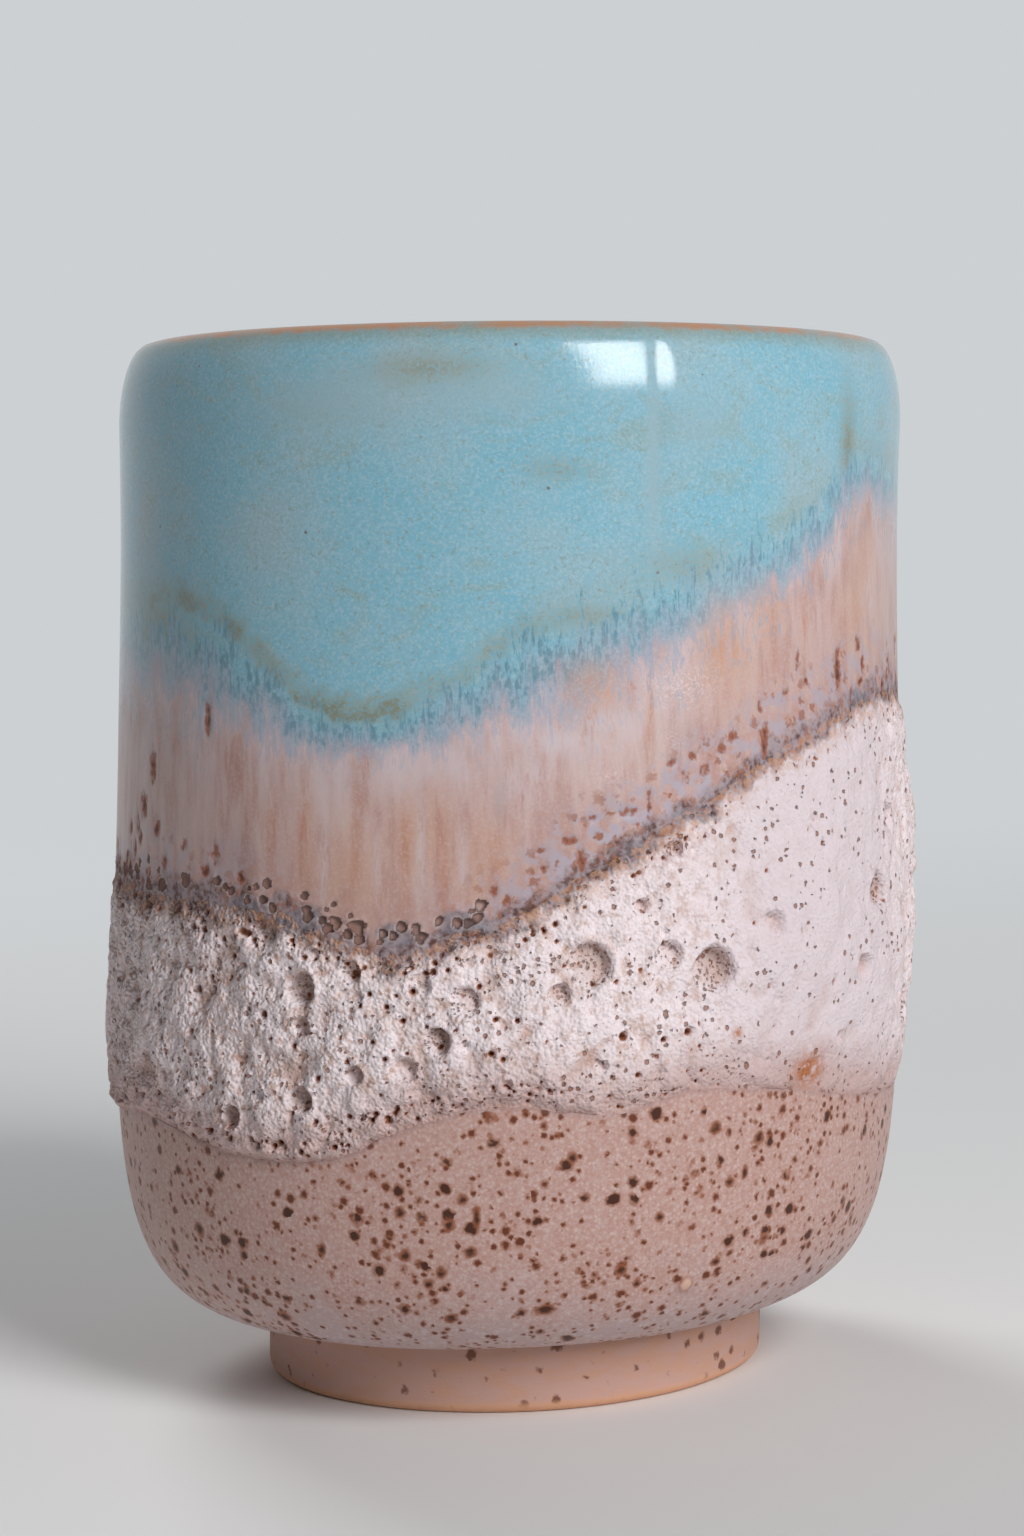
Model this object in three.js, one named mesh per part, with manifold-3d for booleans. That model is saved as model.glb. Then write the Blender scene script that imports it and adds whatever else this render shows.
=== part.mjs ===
// A handleless stoneware mug, thrown on a wheel, with a trimmed foot ring and poured glazes.
// Millimetres, +Z up. Angles go round the mug from its front, which faces -Y, towards +X.
// The clay is one thrown wall on its foot. Each glaze is a coat of its own over the clay.
import * as THREE from "three";
import { mergeVertices } from "three/addons/utils/BufferGeometryUtils.js";
import Module from "manifold-3d";

const wasm = await Module();
wasm.setup();

// Thrown body
const HEIGHT = 101.2; // table to the crown of the lip, over the glaze
const BODY_RADIUS = 39.2; // at the belly, over the glaze
const BELLY_HEIGHT = 40; // the heel's curve ends here and the wall stands upright
const HEEL_INSET = 1.8; // slack of the heel inside the belly
const HEEL_SLOPE = 0.4; // rise of the underside on its way out to the heel
const HEEL_TURN = 9.2; // height over which the heel turns up
const WAIST_INSET = 1.1; // pull of the wall between belly and shoulder
const SHOULDER_INSET = 0.6;
const LIP_DROP = 7.2; // the clay's shoulder lies this far below its crown
const LIP_INNER_DROP = 1.4; // rounding on the drinking side
const LIP_INNER_WIDTH = 1.1;
const CLAY_WALL = 3.4;
const CLAY_FLOOR = 5.5;
const INNER_CORNER = 12; // radius between inner wall and floor

// Foot ring
const FOOT_HEIGHT = 6.9; // table to the lower edge of the glaze
const FOOT_RADIUS = 24.8;
const FOOT_WIDTH = 6.6;
const FOOT_EDGE = 1.1; // rounding of the edges it stands on
const FOOT_OFFSET = 0.9; // the foot was trimmed a little off centre, towards +X

// Lean of a hand-made piece
const LEAN = 3.9; // sideways shift of the crown, towards +X
const RIM_TILT = 1.1; // drop of the rim on its +X side

// Glaze coats
const GLAZE = 0.6; // thickness of every coat
const BOND_GAP = 0.1; // between clay and coat
const COAT_GAP = 0.15; // between neighbouring coats
const BAND_PROUD = 1.65; // the crater glaze swells this far out of the wall
const BAND_PROUD_SWING = 0.3; // and by this much more on the +X side, and less opposite
const BAND_STEP = 0.5; // its thickness over the other coats along its edges
const BAND_SKEW = 0.58; // below 1 the swelling sits low in the band
const BAND_SKEW_SWING = 0.2; // it sits higher by this much on the +X side, and lower opposite
const LUMP_HEIGHT = 0.45;
const LUMP_WAVES = [[7, 5, 0], [11, -4, 2]]; // waves round the mug, radians across the band, phase

// Craters
const CRATER_DEPTH = 0.28; // as a share of the crater's diameter
const BACK_CRATERS = 20;
const BACK_CRATER_LEAST = 1.6; // diameters on the sides and back
const BACK_CRATER_SPREAD = 2.2;
const BACK_CRATER_LOW = 0.15; // they keep to this share of the band and up
const BACK_CRATER_REACH = 0.65;
const SCATTER_STEPS = [0.7549, 0.5698, 0.618]; // steps round, across and in size that form no rows

// Facets
const SIDES = 48;
const HEEL_ROWS = 6;
const HEEL_REACH = 0.85; // the heel's rows end this far up to the lowest point of the band
const WALL_ROWS = 5;
const LIP_ROWS = 4;
const FOOT_EDGE_ROWS = 4;
const INNER_WALL_ROWS = 2;
const INNER_CORNER_ROWS = 4;
const BAND_ROWS = 8;
const CRATER_SIDES = 10;
const CRATER_RINGS = 7;
const HALVINGS = 30;

// Lines where two glazes meet: angle in degrees, height in percent of the wall above the foot
const TURQUOISE_LINE = [
  [-180, 71], [-130, 67.5], [-90, 67], [-60, 66], [-40, 62.7], [-24, 59.7], [-8, 61.6], [12, 69],
  [30, 75.4], [45, 79], [57, 84.4], [70, 84], [100, 79.5], [140, 74], [180, 71],
];
const BAND_TOP_LINE = [
  [-180, 48], [-130, 46.8], [-90, 46.2], [-58, 45.2], [-34, 44.1], [-17, 40.9], [0, 44.1], [14, 49.6],
  [28, 54.9], [42, 59.5], [58, 63], [72, 63.4], [100, 60.6], [140, 53], [180, 48],
];
const BAND_LOW_LINE = [
  [-180, 23.4], [-130, 21.8], [-90, 20.8], [-60, 22.6], [-38, 20.5], [-26, 20.8], [-10, 25], [0, 26.2],
  [13, 25], [26, 26.5], [44, 25], [66, 22.3], [100, 23.4], [140, 25.6], [180, 23.4],
];

// Craters on the front: angle in degrees, share of the band from its lower edge, diameter
const FRONT_CRATERS = [
  [-39, 0.17, 2.2], [-28.5, 0.26, 2.6], [-28.5, 0.57, 1.9], [-28.5, 0.74, 3.1], [-21.5, 0.84, 2],
  [-20.5, 0.36, 1.9], [-14, 0.34, 2.4], [-9.5, 0.43, 2.6], [-6, 0.63, 2.8], [6, 0.54, 2],
  [10, 0.61, 4], [17, 0.75, 1.6], [20.5, 0.53, 2.6], [27, 0.43, 4], [36, 0.51, 2.6],
];
const FRONT_HALF_ANGLE = 50; // the list above covers the front as far as this each way

// Sizes of the bare clay that follow from those above
const coatDepth = GLAZE + BOND_GAP; // from the clay to the surface of a coat
const clayRadius = BODY_RADIUS - coatDepth;
const waistRadius = clayRadius - WAIST_INSET;
const shoulderRadius = clayRadius - SHOULDER_INSET;
const crownRadius = shoulderRadius - CLAY_WALL + LIP_INNER_WIDTH;
const crownHeight = HEIGHT - coatDepth;
const shoulderHeight = crownHeight - LIP_DROP;
const seatHeight = FOOT_HEIGHT + coatDepth; // underside of the wall, on the foot
const floorHeight = seatHeight + CLAY_FLOOR;
const glazeStart = FOOT_RADIUS + FOOT_OFFSET + COAT_GAP;

// Outside of the clay, as radius and height, from the foot up to the crown
function makeOuterOutline() {
  const third = (shoulderHeight - BELLY_HEIGHT) / 3;
  const outline = new THREE.Path();
  outline.moveTo(glazeStart, seatHeight);
  outline.bezierCurveTo(
    clayRadius - HEEL_INSET, seatHeight + HEEL_SLOPE,
    clayRadius, seatHeight + HEEL_TURN,
    clayRadius, BELLY_HEIGHT,
  );
  outline.bezierCurveTo(
    clayRadius, BELLY_HEIGHT + third,
    waistRadius, shoulderHeight - third,
    shoulderRadius, shoulderHeight,
  );
  outline.absellipse(crownRadius, shoulderHeight, shoulderRadius - crownRadius, LIP_DROP, 0, Math.PI / 2);
  return outline;
}

// Inside of the clay, from the crown down the wall and across the floor to the axis
function makeInnerOutline() {
  const lipEnd = crownHeight - LIP_INNER_DROP;
  const cornerRadius = clayRadius - CLAY_WALL;
  const cornerTop = floorHeight + INNER_CORNER;
  const third = (lipEnd - cornerTop) / 3;
  const outline = new THREE.Path();
  outline.moveTo(crownRadius, crownHeight);
  outline.absellipse(crownRadius, lipEnd, LIP_INNER_WIDTH, LIP_INNER_DROP, Math.PI / 2, Math.PI);
  outline.bezierCurveTo(
    waistRadius - CLAY_WALL, lipEnd - third,
    cornerRadius, cornerTop + third,
    cornerRadius, cornerTop,
  );
  outline.absarc(cornerRadius - INNER_CORNER, cornerTop, INNER_CORNER, 0, -Math.PI / 2, true);
  outline.lineTo(0, floorHeight);
  return outline;
}

const outerOutline = makeOuterOutline();
const innerOutline = makeInnerOutline();
const outerLength = outerOutline.getLength();
const innerLength = innerOutline.getLength();

// Point at a share of an outline's length, set off from the clay by a distance
function surfacePoint(outline, share, distance) {
  const point = outline.getPoint(share);
  const along = outline.getTangent(share);
  return new THREE.Vector2(point.x + along.y * distance, point.y - along.x * distance);
}

// Evenly spaced shares from one to another, both included
function spread(from, to, rows) {
  return Array.from({ length: rows + 1 }, (_, row) => THREE.MathUtils.lerp(from, to, row / rows));
}

// Share of the outer outline at a height. The outline climbs all the way, so halving finds it.
function shareAtHeight(height) {
  let low = 0;
  let high = 1;
  for (let halving = 0; halving < HALVINGS; halving++) {
    const middle = (low + high) / 2;
    if (outerOutline.getPoint(middle).y < height) low = middle;
    else high = middle;
  }
  return (low + high) / 2;
}

// A closed smooth wave through a meeting line's points, as a share of the outer outline by angle
function meetingLine(points) {
  const angles = points.map(([angle]) => angle);
  const heights = points.map(([, percent]) => FOOT_HEIGHT + (percent / 100) * (HEIGHT - FOOT_HEIGHT));
  const wave = new THREE.CubicInterpolant(angles, heights, 1);
  wave.settings = { endingStart: THREE.WrapAroundEnding, endingEnd: THREE.WrapAroundEnding };
  return (angle) => {
    const degrees = THREE.MathUtils.euclideanModulo(THREE.MathUtils.radToDeg(angle) + 180, 360) - 180;
    return shareAtHeight(wave.evaluate(degrees)[0]);
  };
}

const turquoiseLine = meetingLine(TURQUOISE_LINE);
const bandTopLine = meetingLine(BAND_TOP_LINE);
const bandLowLine = meetingLine(BAND_LOW_LINE);
const facetAngles = spread(0, 2 * Math.PI, SIDES).slice(0, SIDES);

// Rows shared by the clay and its coats on the round stretches, so that both have the same facets
const heelTop = HEEL_REACH * Math.min(...facetAngles.map(bandLowLine));
const heelShares = spread(0, heelTop, HEEL_ROWS);
const lipShares = spread(shareAtHeight(shoulderHeight), 1, LIP_ROWS);

function makeInnerShares() {
  const ends = innerOutline.getCurveLengths().map((length) => length / innerLength);
  const [lipEnd, wallEnd, cornerEnd] = [ends[0], ends[ends.length - 3], ends[ends.length - 2]];
  return [
    ...spread(0, lipEnd, LIP_ROWS),
    ...spread(lipEnd, wallEnd, INNER_WALL_ROWS).slice(1),
    ...spread(wallEnd, cornerEnd, INNER_CORNER_ROWS).slice(1),
    1,
  ];
}
const innerShares = makeInnerShares();

// A closed body turned round the axis from one outline that closes on itself or on the axis
function turned(outline) {
  return new THREE.LatheGeometry(outline, SIDES).rotateX(Math.PI / 2);
}

// A closed ring whose cross-section changes with the angle
function ring(sectionAt) {
  const sections = facetAngles.map(sectionAt);
  const count = sections[0].length;
  const positions = [];
  const triangles = [];
  sections.forEach((section, side) => {
    const angle = facetAngles[side];
    const here = side * count;
    const next = ((side + 1) % SIDES) * count;
    section.forEach((point, corner) => {
      const after = (corner + 1) % count;
      positions.push(point.x * Math.sin(angle), -point.x * Math.cos(angle), point.y);
      triangles.push(here + corner, next + corner, here + after);
      triangles.push(here + after, next + corner, next + after);
    });
  });
  const geometry = new THREE.BufferGeometry();
  geometry.setAttribute("position", new THREE.Float32BufferAttribute(positions, 3));
  geometry.setIndex(triangles);
  return geometry;
}

// A coat on the outer wall. sharesAt gives its rows by angle, and relief its swelling by angle and row.
function coat(sharesAt, relief = () => 0) {
  return ring((angle) => {
    const shares = sharesAt(angle);
    const last = shares.length - 1;
    const outside = shares.map((share, row) => {
      return surfacePoint(outerOutline, share, coatDepth + relief(angle, row / last));
    });
    const inside = shares.map((share) => surfacePoint(outerOutline, share, BOND_GAP));
    return [...outside, ...inside.reverse()];
  });
}

const halfGap = COAT_GAP / 2 / outerLength;

// Clay wall and floor, thrown in one
function clayWall() {
  const wallShares = spread(heelTop, lipShares[0], WALL_ROWS).slice(1, -1);
  const outerShares = [...heelShares, ...wallShares, ...lipShares];
  return turned([
    new THREE.Vector2(0, seatHeight),
    ...outerShares.map((share) => surfacePoint(outerOutline, share, 0)),
    ...innerShares.slice(1).map((share) => surfacePoint(innerOutline, share, 0)),
  ]);
}

// Foot ring with rounded lower edges, left bare of glaze
function footRing() {
  const inside = FOOT_RADIUS - FOOT_WIDTH;
  const top = seatHeight - BOND_GAP;
  const outline = new THREE.Path();
  outline.moveTo(inside + FOOT_EDGE, 0);
  outline.lineTo(FOOT_RADIUS - FOOT_EDGE, 0);
  outline.absarc(FOOT_RADIUS - FOOT_EDGE, FOOT_EDGE, FOOT_EDGE, -Math.PI / 2, 0);
  outline.lineTo(FOOT_RADIUS, top);
  outline.lineTo(inside, top);
  outline.lineTo(inside, FOOT_EDGE);
  outline.absarc(inside + FOOT_EDGE, FOOT_EDGE, FOOT_EDGE, Math.PI, 1.5 * Math.PI);
  return turned(outline.getPoints(FOOT_EDGE_ROWS / 2)).translate(FOOT_OFFSET, 0, 0);
}

// Glaze inside the mug, from the crown to the floor
function linerGlaze() {
  const shares = [COAT_GAP / innerLength, ...innerShares.slice(1)];
  return turned([
    ...shares.map((share) => surfacePoint(innerOutline, share, BOND_GAP)).reverse(),
    ...shares.map((share) => surfacePoint(innerOutline, share, coatDepth)),
  ]);
}

// Turquoise glaze, from its wavy lower line up over the lip
function turquoiseGlaze() {
  const lip = [...lipShares.slice(0, -1), 1 - halfGap];
  return coat((angle) => {
    const low = turquoiseLine(angle) + halfGap;
    return [low, (low + lip[0]) / 2, ...lip];
  });
}

// Streaked glaze between the turquoise and the crater band
function streakedGlaze() {
  return coat((angle) => spread(bandTopLine(angle) + halfGap, turquoiseLine(angle) - halfGap, 2));
}

// Speckled glaze under the crater band, round the heel and in to the foot
function speckledGlaze() {
  return coat((angle) => {
    const high = bandLowLine(angle) - halfGap;
    return [...heelShares, (heelTop + high) / 2, high];
  });
}

// Swelling of the crater band over the wall: a step at both edges, a low belly and soft lumps
function bandRelief(angle, across) {
  const skew = BAND_SKEW + BAND_SKEW_SWING * Math.sin(angle);
  const arch = Math.sin(Math.PI * across ** skew);
  const proud = BAND_PROUD + BAND_PROUD_SWING * Math.sin(angle);
  let swelling = proud - BAND_STEP;
  for (const [round, over, phase] of LUMP_WAVES) {
    swelling += (LUMP_HEIGHT / 2) * Math.sin(round * angle + over * across + phase);
  }
  return BAND_STEP + swelling * arch;
}

// A manifold solid from a closed geometry
function solid(geometry) {
  geometry.deleteAttribute("normal");
  geometry.deleteAttribute("uv");
  const merged = mergeVertices(geometry);
  const vertProperties = new Float32Array(merged.attributes.position.array);
  const triVerts = new Uint32Array(merged.index.array);
  return new wasm.Manifold(new wasm.Mesh({ numProp: 3, vertProperties, triVerts }));
}

// The ball that leaves a round crater of a diameter when it is cut out of the band
function craterBall(angle, across, diameter) {
  const depth = CRATER_DEPTH * diameter;
  const radius = (diameter ** 2 / 4 + depth ** 2) / (2 * depth);
  const share = THREE.MathUtils.lerp(bandLowLine(angle), bandTopLine(angle), across);
  const surface = coatDepth + bandRelief(angle, across);
  const centre = surfacePoint(outerOutline, share, surface + radius - depth);
  const ball = new THREE.SphereGeometry(radius, CRATER_SIDES, CRATER_RINGS);
  return ball.translate(centre.x * Math.sin(angle), -centre.x * Math.cos(angle), centre.y);
}

// Craters scattered over the sides and back, evenly but in no order
function backCraters() {
  return Array.from({ length: BACK_CRATERS }, (_, place) => {
    const [round, up, size] = SCATTER_STEPS.map((step) => (step * place) % 1);
    return [
      FRONT_HALF_ANGLE + (360 - 2 * FRONT_HALF_ANGLE) * round,
      BACK_CRATER_LOW + BACK_CRATER_REACH * up,
      BACK_CRATER_LEAST + BACK_CRATER_SPREAD * size,
    ];
  });
}

// Crater glaze: a thick, lumpy band pitted by burst bubbles
function craterGlaze() {
  const band = coat(
    (angle) => spread(bandLowLine(angle) + halfGap, bandTopLine(angle) - halfGap, BAND_ROWS),
    bandRelief,
  );
  let pitted = solid(band);
  for (const [degrees, across, diameter] of [...FRONT_CRATERS, ...backCraters()]) {
    const ball = craterBall(THREE.MathUtils.degToRad(degrees), across, diameter);
    pitted = pitted.subtract(solid(ball));
  }
  const mesh = pitted.getMesh();
  const geometry = new THREE.BufferGeometry();
  geometry.setAttribute("position", new THREE.Float32BufferAttribute(mesh.vertProperties, 3));
  geometry.setIndex(Array.from(mesh.triVerts));
  return geometry;
}

// The whole mug leans a little and its rim dips to one side, while the foot stays flat on the table
function lean(geometry) {
  const position = geometry.attributes.position;
  for (let index = 0; index < position.count; index++) {
    const x = position.getX(index);
    const z = position.getZ(index);
    const share = z / HEIGHT;
    position.setX(index, x + LEAN * share);
    position.setZ(index, z - RIM_TILT * (x / BODY_RADIUS) * share);
  }
  geometry.computeVertexNormals();
  return geometry;
}

const mug = new THREE.Group();

function addPart(name, geometry, color, roughness) {
  const material = new THREE.MeshStandardMaterial({ color, roughness, metalness: 0 });
  const mesh = new THREE.Mesh(lean(geometry), material);
  mesh.name = name;
  mug.add(mesh);
}

addPart("clay_wall", clayWall(), 0xc79b7e, 0.85);
addPart("foot_ring", footRing(), 0xc79b7e, 0.8);
addPart("liner_glaze", linerGlaze(), 0x78b4b6, 0.15);
addPart("turquoise_glaze", turquoiseGlaze(), 0x78b4b6, 0.15);
addPart("streaked_glaze", streakedGlaze(), 0xc9a391, 0.3);
addPart("crater_glaze", craterGlaze(), 0xddd2cd, 0.9);
addPart("speckled_glaze", speckledGlaze(), 0xc2a08d, 0.4);

// The origin is on the table, under the middle of the mug
const middle = new THREE.Box3().setFromObject(mug).getCenter(new THREE.Vector3());
mug.position.set(-middle.x, -middle.y, 0);

export default mug;
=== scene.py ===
# Looks of the handleless mug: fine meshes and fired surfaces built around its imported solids.
# Sizes are millimetres until a mesh is written in metres. Angles go round the mug from its front,
# which faces -Y, towards +X. Heights and angles are those of the mug before it leans.
import math
import bpy
import numpy as np
from mathutils import Matrix, Vector, noise


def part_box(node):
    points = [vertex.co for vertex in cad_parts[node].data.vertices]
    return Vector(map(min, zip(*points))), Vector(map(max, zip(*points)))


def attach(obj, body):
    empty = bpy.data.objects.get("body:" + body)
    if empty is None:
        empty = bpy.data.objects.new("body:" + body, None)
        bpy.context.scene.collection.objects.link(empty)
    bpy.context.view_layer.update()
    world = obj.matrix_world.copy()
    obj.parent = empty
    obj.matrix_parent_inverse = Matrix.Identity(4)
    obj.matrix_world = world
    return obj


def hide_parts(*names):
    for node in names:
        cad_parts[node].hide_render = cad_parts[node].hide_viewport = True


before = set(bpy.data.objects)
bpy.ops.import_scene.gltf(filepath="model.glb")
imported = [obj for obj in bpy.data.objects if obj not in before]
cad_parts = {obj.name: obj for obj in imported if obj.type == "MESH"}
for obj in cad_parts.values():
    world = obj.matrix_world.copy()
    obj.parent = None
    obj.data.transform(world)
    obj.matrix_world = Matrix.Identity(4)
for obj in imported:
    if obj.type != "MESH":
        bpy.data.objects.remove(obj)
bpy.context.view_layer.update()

MM = 0.001

# Thrown body and foot ring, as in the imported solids
HEIGHT = 101.2
BODY_RADIUS = 39.2
BELLY_HEIGHT = 40
HEEL_INSET = 1.8
HEEL_SLOPE = 0.4
HEEL_TURN = 9.2
WAIST_INSET = 1.1
SHOULDER_INSET = 0.6
LIP_DROP = 7.2
LIP_INNER_DROP = 1.4
LIP_INNER_WIDTH = 1.1
CLAY_WALL = 3.4
CLAY_FLOOR = 5.5
INNER_CORNER = 12
FOOT_HEIGHT = 6.9
FOOT_RADIUS = 24.8
FOOT_WIDTH = 6.6
FOOT_EDGE = 1.1
FOOT_OFFSET = 0.9
LEAN = 3.9
RIM_TILT = 1.1

# Glaze coats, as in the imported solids
GLAZE = 0.6
BOND_GAP = 0.1
COAT_GAP = 0.15
BAND_PROUD = 1.65
BAND_PROUD_SWING = 0.3
BAND_STEP = 0.5
BAND_SKEW = 0.58
BAND_SKEW_SWING = 0.2
LUMP_HEIGHT = 0.45
LUMP_WAVES = [[7, 5, 0], [11, -4, 2]]

# Lines where two glazes meet: angle in degrees, height in percent of the wall above the foot
TURQUOISE_LINE = [
    [-180, 71], [-130, 67.5], [-90, 67], [-60, 66], [-40, 62.7], [-24, 59.7], [-8, 61.6], [12, 69],
    [30, 75.4], [45, 79], [57, 84.4], [70, 84], [100, 79.5], [140, 74], [180, 71],
]
BAND_TOP_LINE = [
    [-180, 48], [-130, 46.8], [-90, 46.2], [-58, 45.2], [-34, 44.1], [-17, 40.9], [0, 44.1], [14, 49.6],
    [28, 54.9], [42, 59.5], [58, 63], [72, 63.4], [100, 60.6], [140, 53], [180, 48],
]
BAND_LOW_LINE = [
    [-180, 23.4], [-130, 21.8], [-90, 20.8], [-60, 22.6], [-38, 20.5], [-26, 20.8], [-10, 25], [0, 26.2],
    [13, 25], [26, 26.5], [44, 25], [66, 22.3], [100, 23.4], [140, 25.6], [180, 23.4],
]
# Blue fringe by angle: millimetres that the solid turquoise starts above the turquoise line, then how far
# the last threads hang below that line
FRINGE_RISE = [
    [-180, 4], [-120, 4.6], [-62, 7], [-45, 8.1], [-31, 4.5], [-22, 2.7], [-9, 3.8], [0, 5.2], [10, 4.2],
    [17, 3.4], [29, 2.5], [41, 2.9], [56, 3.2], [80, 2.6], [130, 4.2], [180, 4],
]
FRINGE_HANG = [
    [-180, 2], [-120, 2.4], [-62, 3], [-45, 2.8], [-31, 1.6], [-9, 2], [0, 3.2], [10, 4.8], [29, 5],
    [41, 3.5], [56, 2.7], [80, 3.4], [130, 2.4], [180, 2],
]
# Strengths by angle on the poured glazes: how wet the fringe looks, the olive line over it, and the lilac
# clouds and rust dots above the crater band
POURED_WAVES = {
    "wet": [
        [-180, 0.6], [-60, 0.7], [-25, 1], [5, 1], [20, 0.6], [45, 0.3], [70, 0.5], [180, 0.6],
    ],
    "olive_line": [
        [-180, 0.6], [-60, 0.9], [-22, 1], [0, 0.75], [12, 0.35], [32, 0.2], [55, 0.3], [80, 0.5],
        [180, 0.6],
    ],
    "clouds": [
        [-180, 0.5], [-110, 0.6], [-50, 0.7], [-30, 0.2], [-10, 0.2], [3, 1], [40, 1], [70, 0.8],
        [180, 0.5],
    ],
}
# Coarseness of the crater glaze by angle: lumpy on the left, smooth on the right
STUCCO_WAVE = [
    [-180, 0.9], [-100, 1.2], [-45, 1.3], [-10, 1.05], [20, 0.9], [42, 0.55], [58, 0.6], [80, 1], [180, 0.9],
]

# Craters on the front: angle in degrees, height, diameter, depth as a share of the diameter, porous floor
FRONT_CRATERS = [
    [-28.5, 42, 3.3, 0.26, 0.5], [-28.5, 38.5, 2.1, 0.28, 0.2], [-27, 45, 1.4, 0.24, 0],
    [-21.5, 43.5, 2.4, 0.2, 1], [-14, 44.5, 1.4, 0.24, 0.3], [-12, 42.5, 2.4, 0.11, 0.4],
    [-6, 41, 3, 0.13, 1], [-9.5, 37.5, 2.8, 0.2, 0.8], [-14, 35, 2.6, 0.16, 0.2],
    [-20.5, 34.5, 2, 0.26, 0], [-28.5, 32, 2.8, 0.27, 0], [-39.5, 30, 2.2, 0.42, 0],
    [17, 49, 1.6, 0.28, 0.3], [10, 44, 4.4, 0.14, 1], [6, 41.5, 2.2, 0.22, 1],
    [20.5, 44.5, 2.8, 0.12, 0.9], [27, 43, 4.5, 0.15, 1], [36, 46.5, 2.8, 0.13, 0.3],
    [11.5, 35, 1.2, 0.3, 0], [21.5, 54, 1.6, 0.22, 0.5], [44.5, 55.5, 1.4, 0.22, 0],
]

# Dark pits on the front: angle, height and diameter
FRONT_PITS = [
    [-2, 39.5, 0.8], [14.5, 37.5, 1.2], [20, 37, 0.9], [23.5, 37.5, 1.1], [46, 53.5, 0.8], [35.5, 51.5, 0.7],
    [58.5, 47, 0.8], [48, 40.5, 0.7], [35.5, 41, 0.7], [16.5, 34, 0.8], [-2.5, 36.5, 0.9], [-1, 36, 0.8],
]

# Open froth where the streaked glaze meets the crater glaze: angle, height and diameter
FROTH_CAVITIES = [
    [-20.5, 47.6, 1.5], [-17, 47, 1], [-14.5, 47.6, 1.1], [-12.5, 47.2, 0.8], [-24, 48, 0.9], [-4, 49.5, 1.1],
    [-9.5, 48.2, 0.9], [-28, 49, 1],
]


def smooth(value, low, high):
    """0 below one value, 1 above another, and a soft step between them."""
    share = np.clip((value - low) / (high - low), 0, 1)
    return share * share * (3 - 2 * share)


def bezier(start, first, second, end, count=160):
    share = np.linspace(0, 1, count)[:, None]
    rest = 1 - share
    ends = rest**3 * np.array(start) + share**3 * np.array(end)
    return ends + 3 * rest**2 * share * np.array(first) + 3 * rest * share**2 * np.array(second)


def ellipse_arc(centre, radii, start, end, count=80):
    turn = np.radians(np.linspace(start, end, count))
    return np.stack([centre[0] + radii[0] * np.cos(turn), centre[1] + radii[1] * np.sin(turn)], 1)


class Outline:
    """A curve of radius and height, read by the length along it."""

    def __init__(self, *stretches):
        points = np.concatenate(stretches)
        steps = np.hypot(*np.diff(points, axis=0).T)
        keep = np.concatenate([[True], steps > 1e-9])
        self.points = points[keep]
        self.lengths = np.concatenate([[0], np.cumsum(steps)])[keep]
        self.length = self.lengths[-1]
        tangents = np.gradient(self.points, self.lengths, axis=0)
        tangents /= np.hypot(*tangents.T)[:, None]
        self.normals = np.stack([tangents[:, 1], -tangents[:, 0]], 1)

    def read(self, values, along):
        return np.interp(along, self.lengths, values)

    def at(self, along, off):
        """Radius and height at lengths along the outline, set off from it by a distance."""
        radius = self.read(self.points[:, 0], along) + off * self.read(self.normals[:, 0], along)
        height = self.read(self.points[:, 1], along) + off * self.read(self.normals[:, 1], along)
        return radius, height

    def along_at(self, height):
        """Length along an outline that climbs all the way, at a height."""
        return np.interp(height, self.points[:, 1], self.lengths)


# Sizes of the bare clay that follow from those above
coat_depth = GLAZE + BOND_GAP
clay_radius = BODY_RADIUS - coat_depth
waist_radius = clay_radius - WAIST_INSET
shoulder_radius = clay_radius - SHOULDER_INSET
crown_radius = shoulder_radius - CLAY_WALL + LIP_INNER_WIDTH
crown_height = HEIGHT - coat_depth
shoulder_height = crown_height - LIP_DROP
seat_height = FOOT_HEIGHT + coat_depth
floor_height = seat_height + CLAY_FLOOR
glaze_start = FOOT_RADIUS + FOOT_OFFSET + COAT_GAP


def make_outer_outline():
    """Outside of the clay, from the foot up to the crown."""
    third = (shoulder_height - BELLY_HEIGHT) / 3
    heel_end = (clay_radius, BELLY_HEIGHT)
    wall_end = (shoulder_radius, shoulder_height)
    return Outline(
        bezier(
            (glaze_start, seat_height),
            (clay_radius - HEEL_INSET, seat_height + HEEL_SLOPE),
            (clay_radius, seat_height + HEEL_TURN),
            heel_end,
        ),
        bezier(
            heel_end, (clay_radius, BELLY_HEIGHT + third), (waist_radius, shoulder_height - third), wall_end
        ),
        ellipse_arc((crown_radius, shoulder_height), (shoulder_radius - crown_radius, LIP_DROP), 0, 90),
    )


def make_inner_outline():
    """Inside of the clay, from the crown down the wall and across the floor to the axis."""
    lip_end = crown_height - LIP_INNER_DROP
    corner_radius = clay_radius - CLAY_WALL
    corner_top = floor_height + INNER_CORNER
    third = (lip_end - corner_top) / 3
    return Outline(
        ellipse_arc((crown_radius, lip_end), (LIP_INNER_WIDTH, LIP_INNER_DROP), 90, 180),
        bezier(
            (crown_radius - LIP_INNER_WIDTH, lip_end),
            (waist_radius - CLAY_WALL, lip_end - third),
            (corner_radius, corner_top + third),
            (corner_radius, corner_top),
        ),
        ellipse_arc((corner_radius - INNER_CORNER, corner_top), (INNER_CORNER, INNER_CORNER), 0, -90),
        np.array([[0, floor_height]]),
    )


outer = make_outer_outline()
inner = make_inner_outline()


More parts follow.
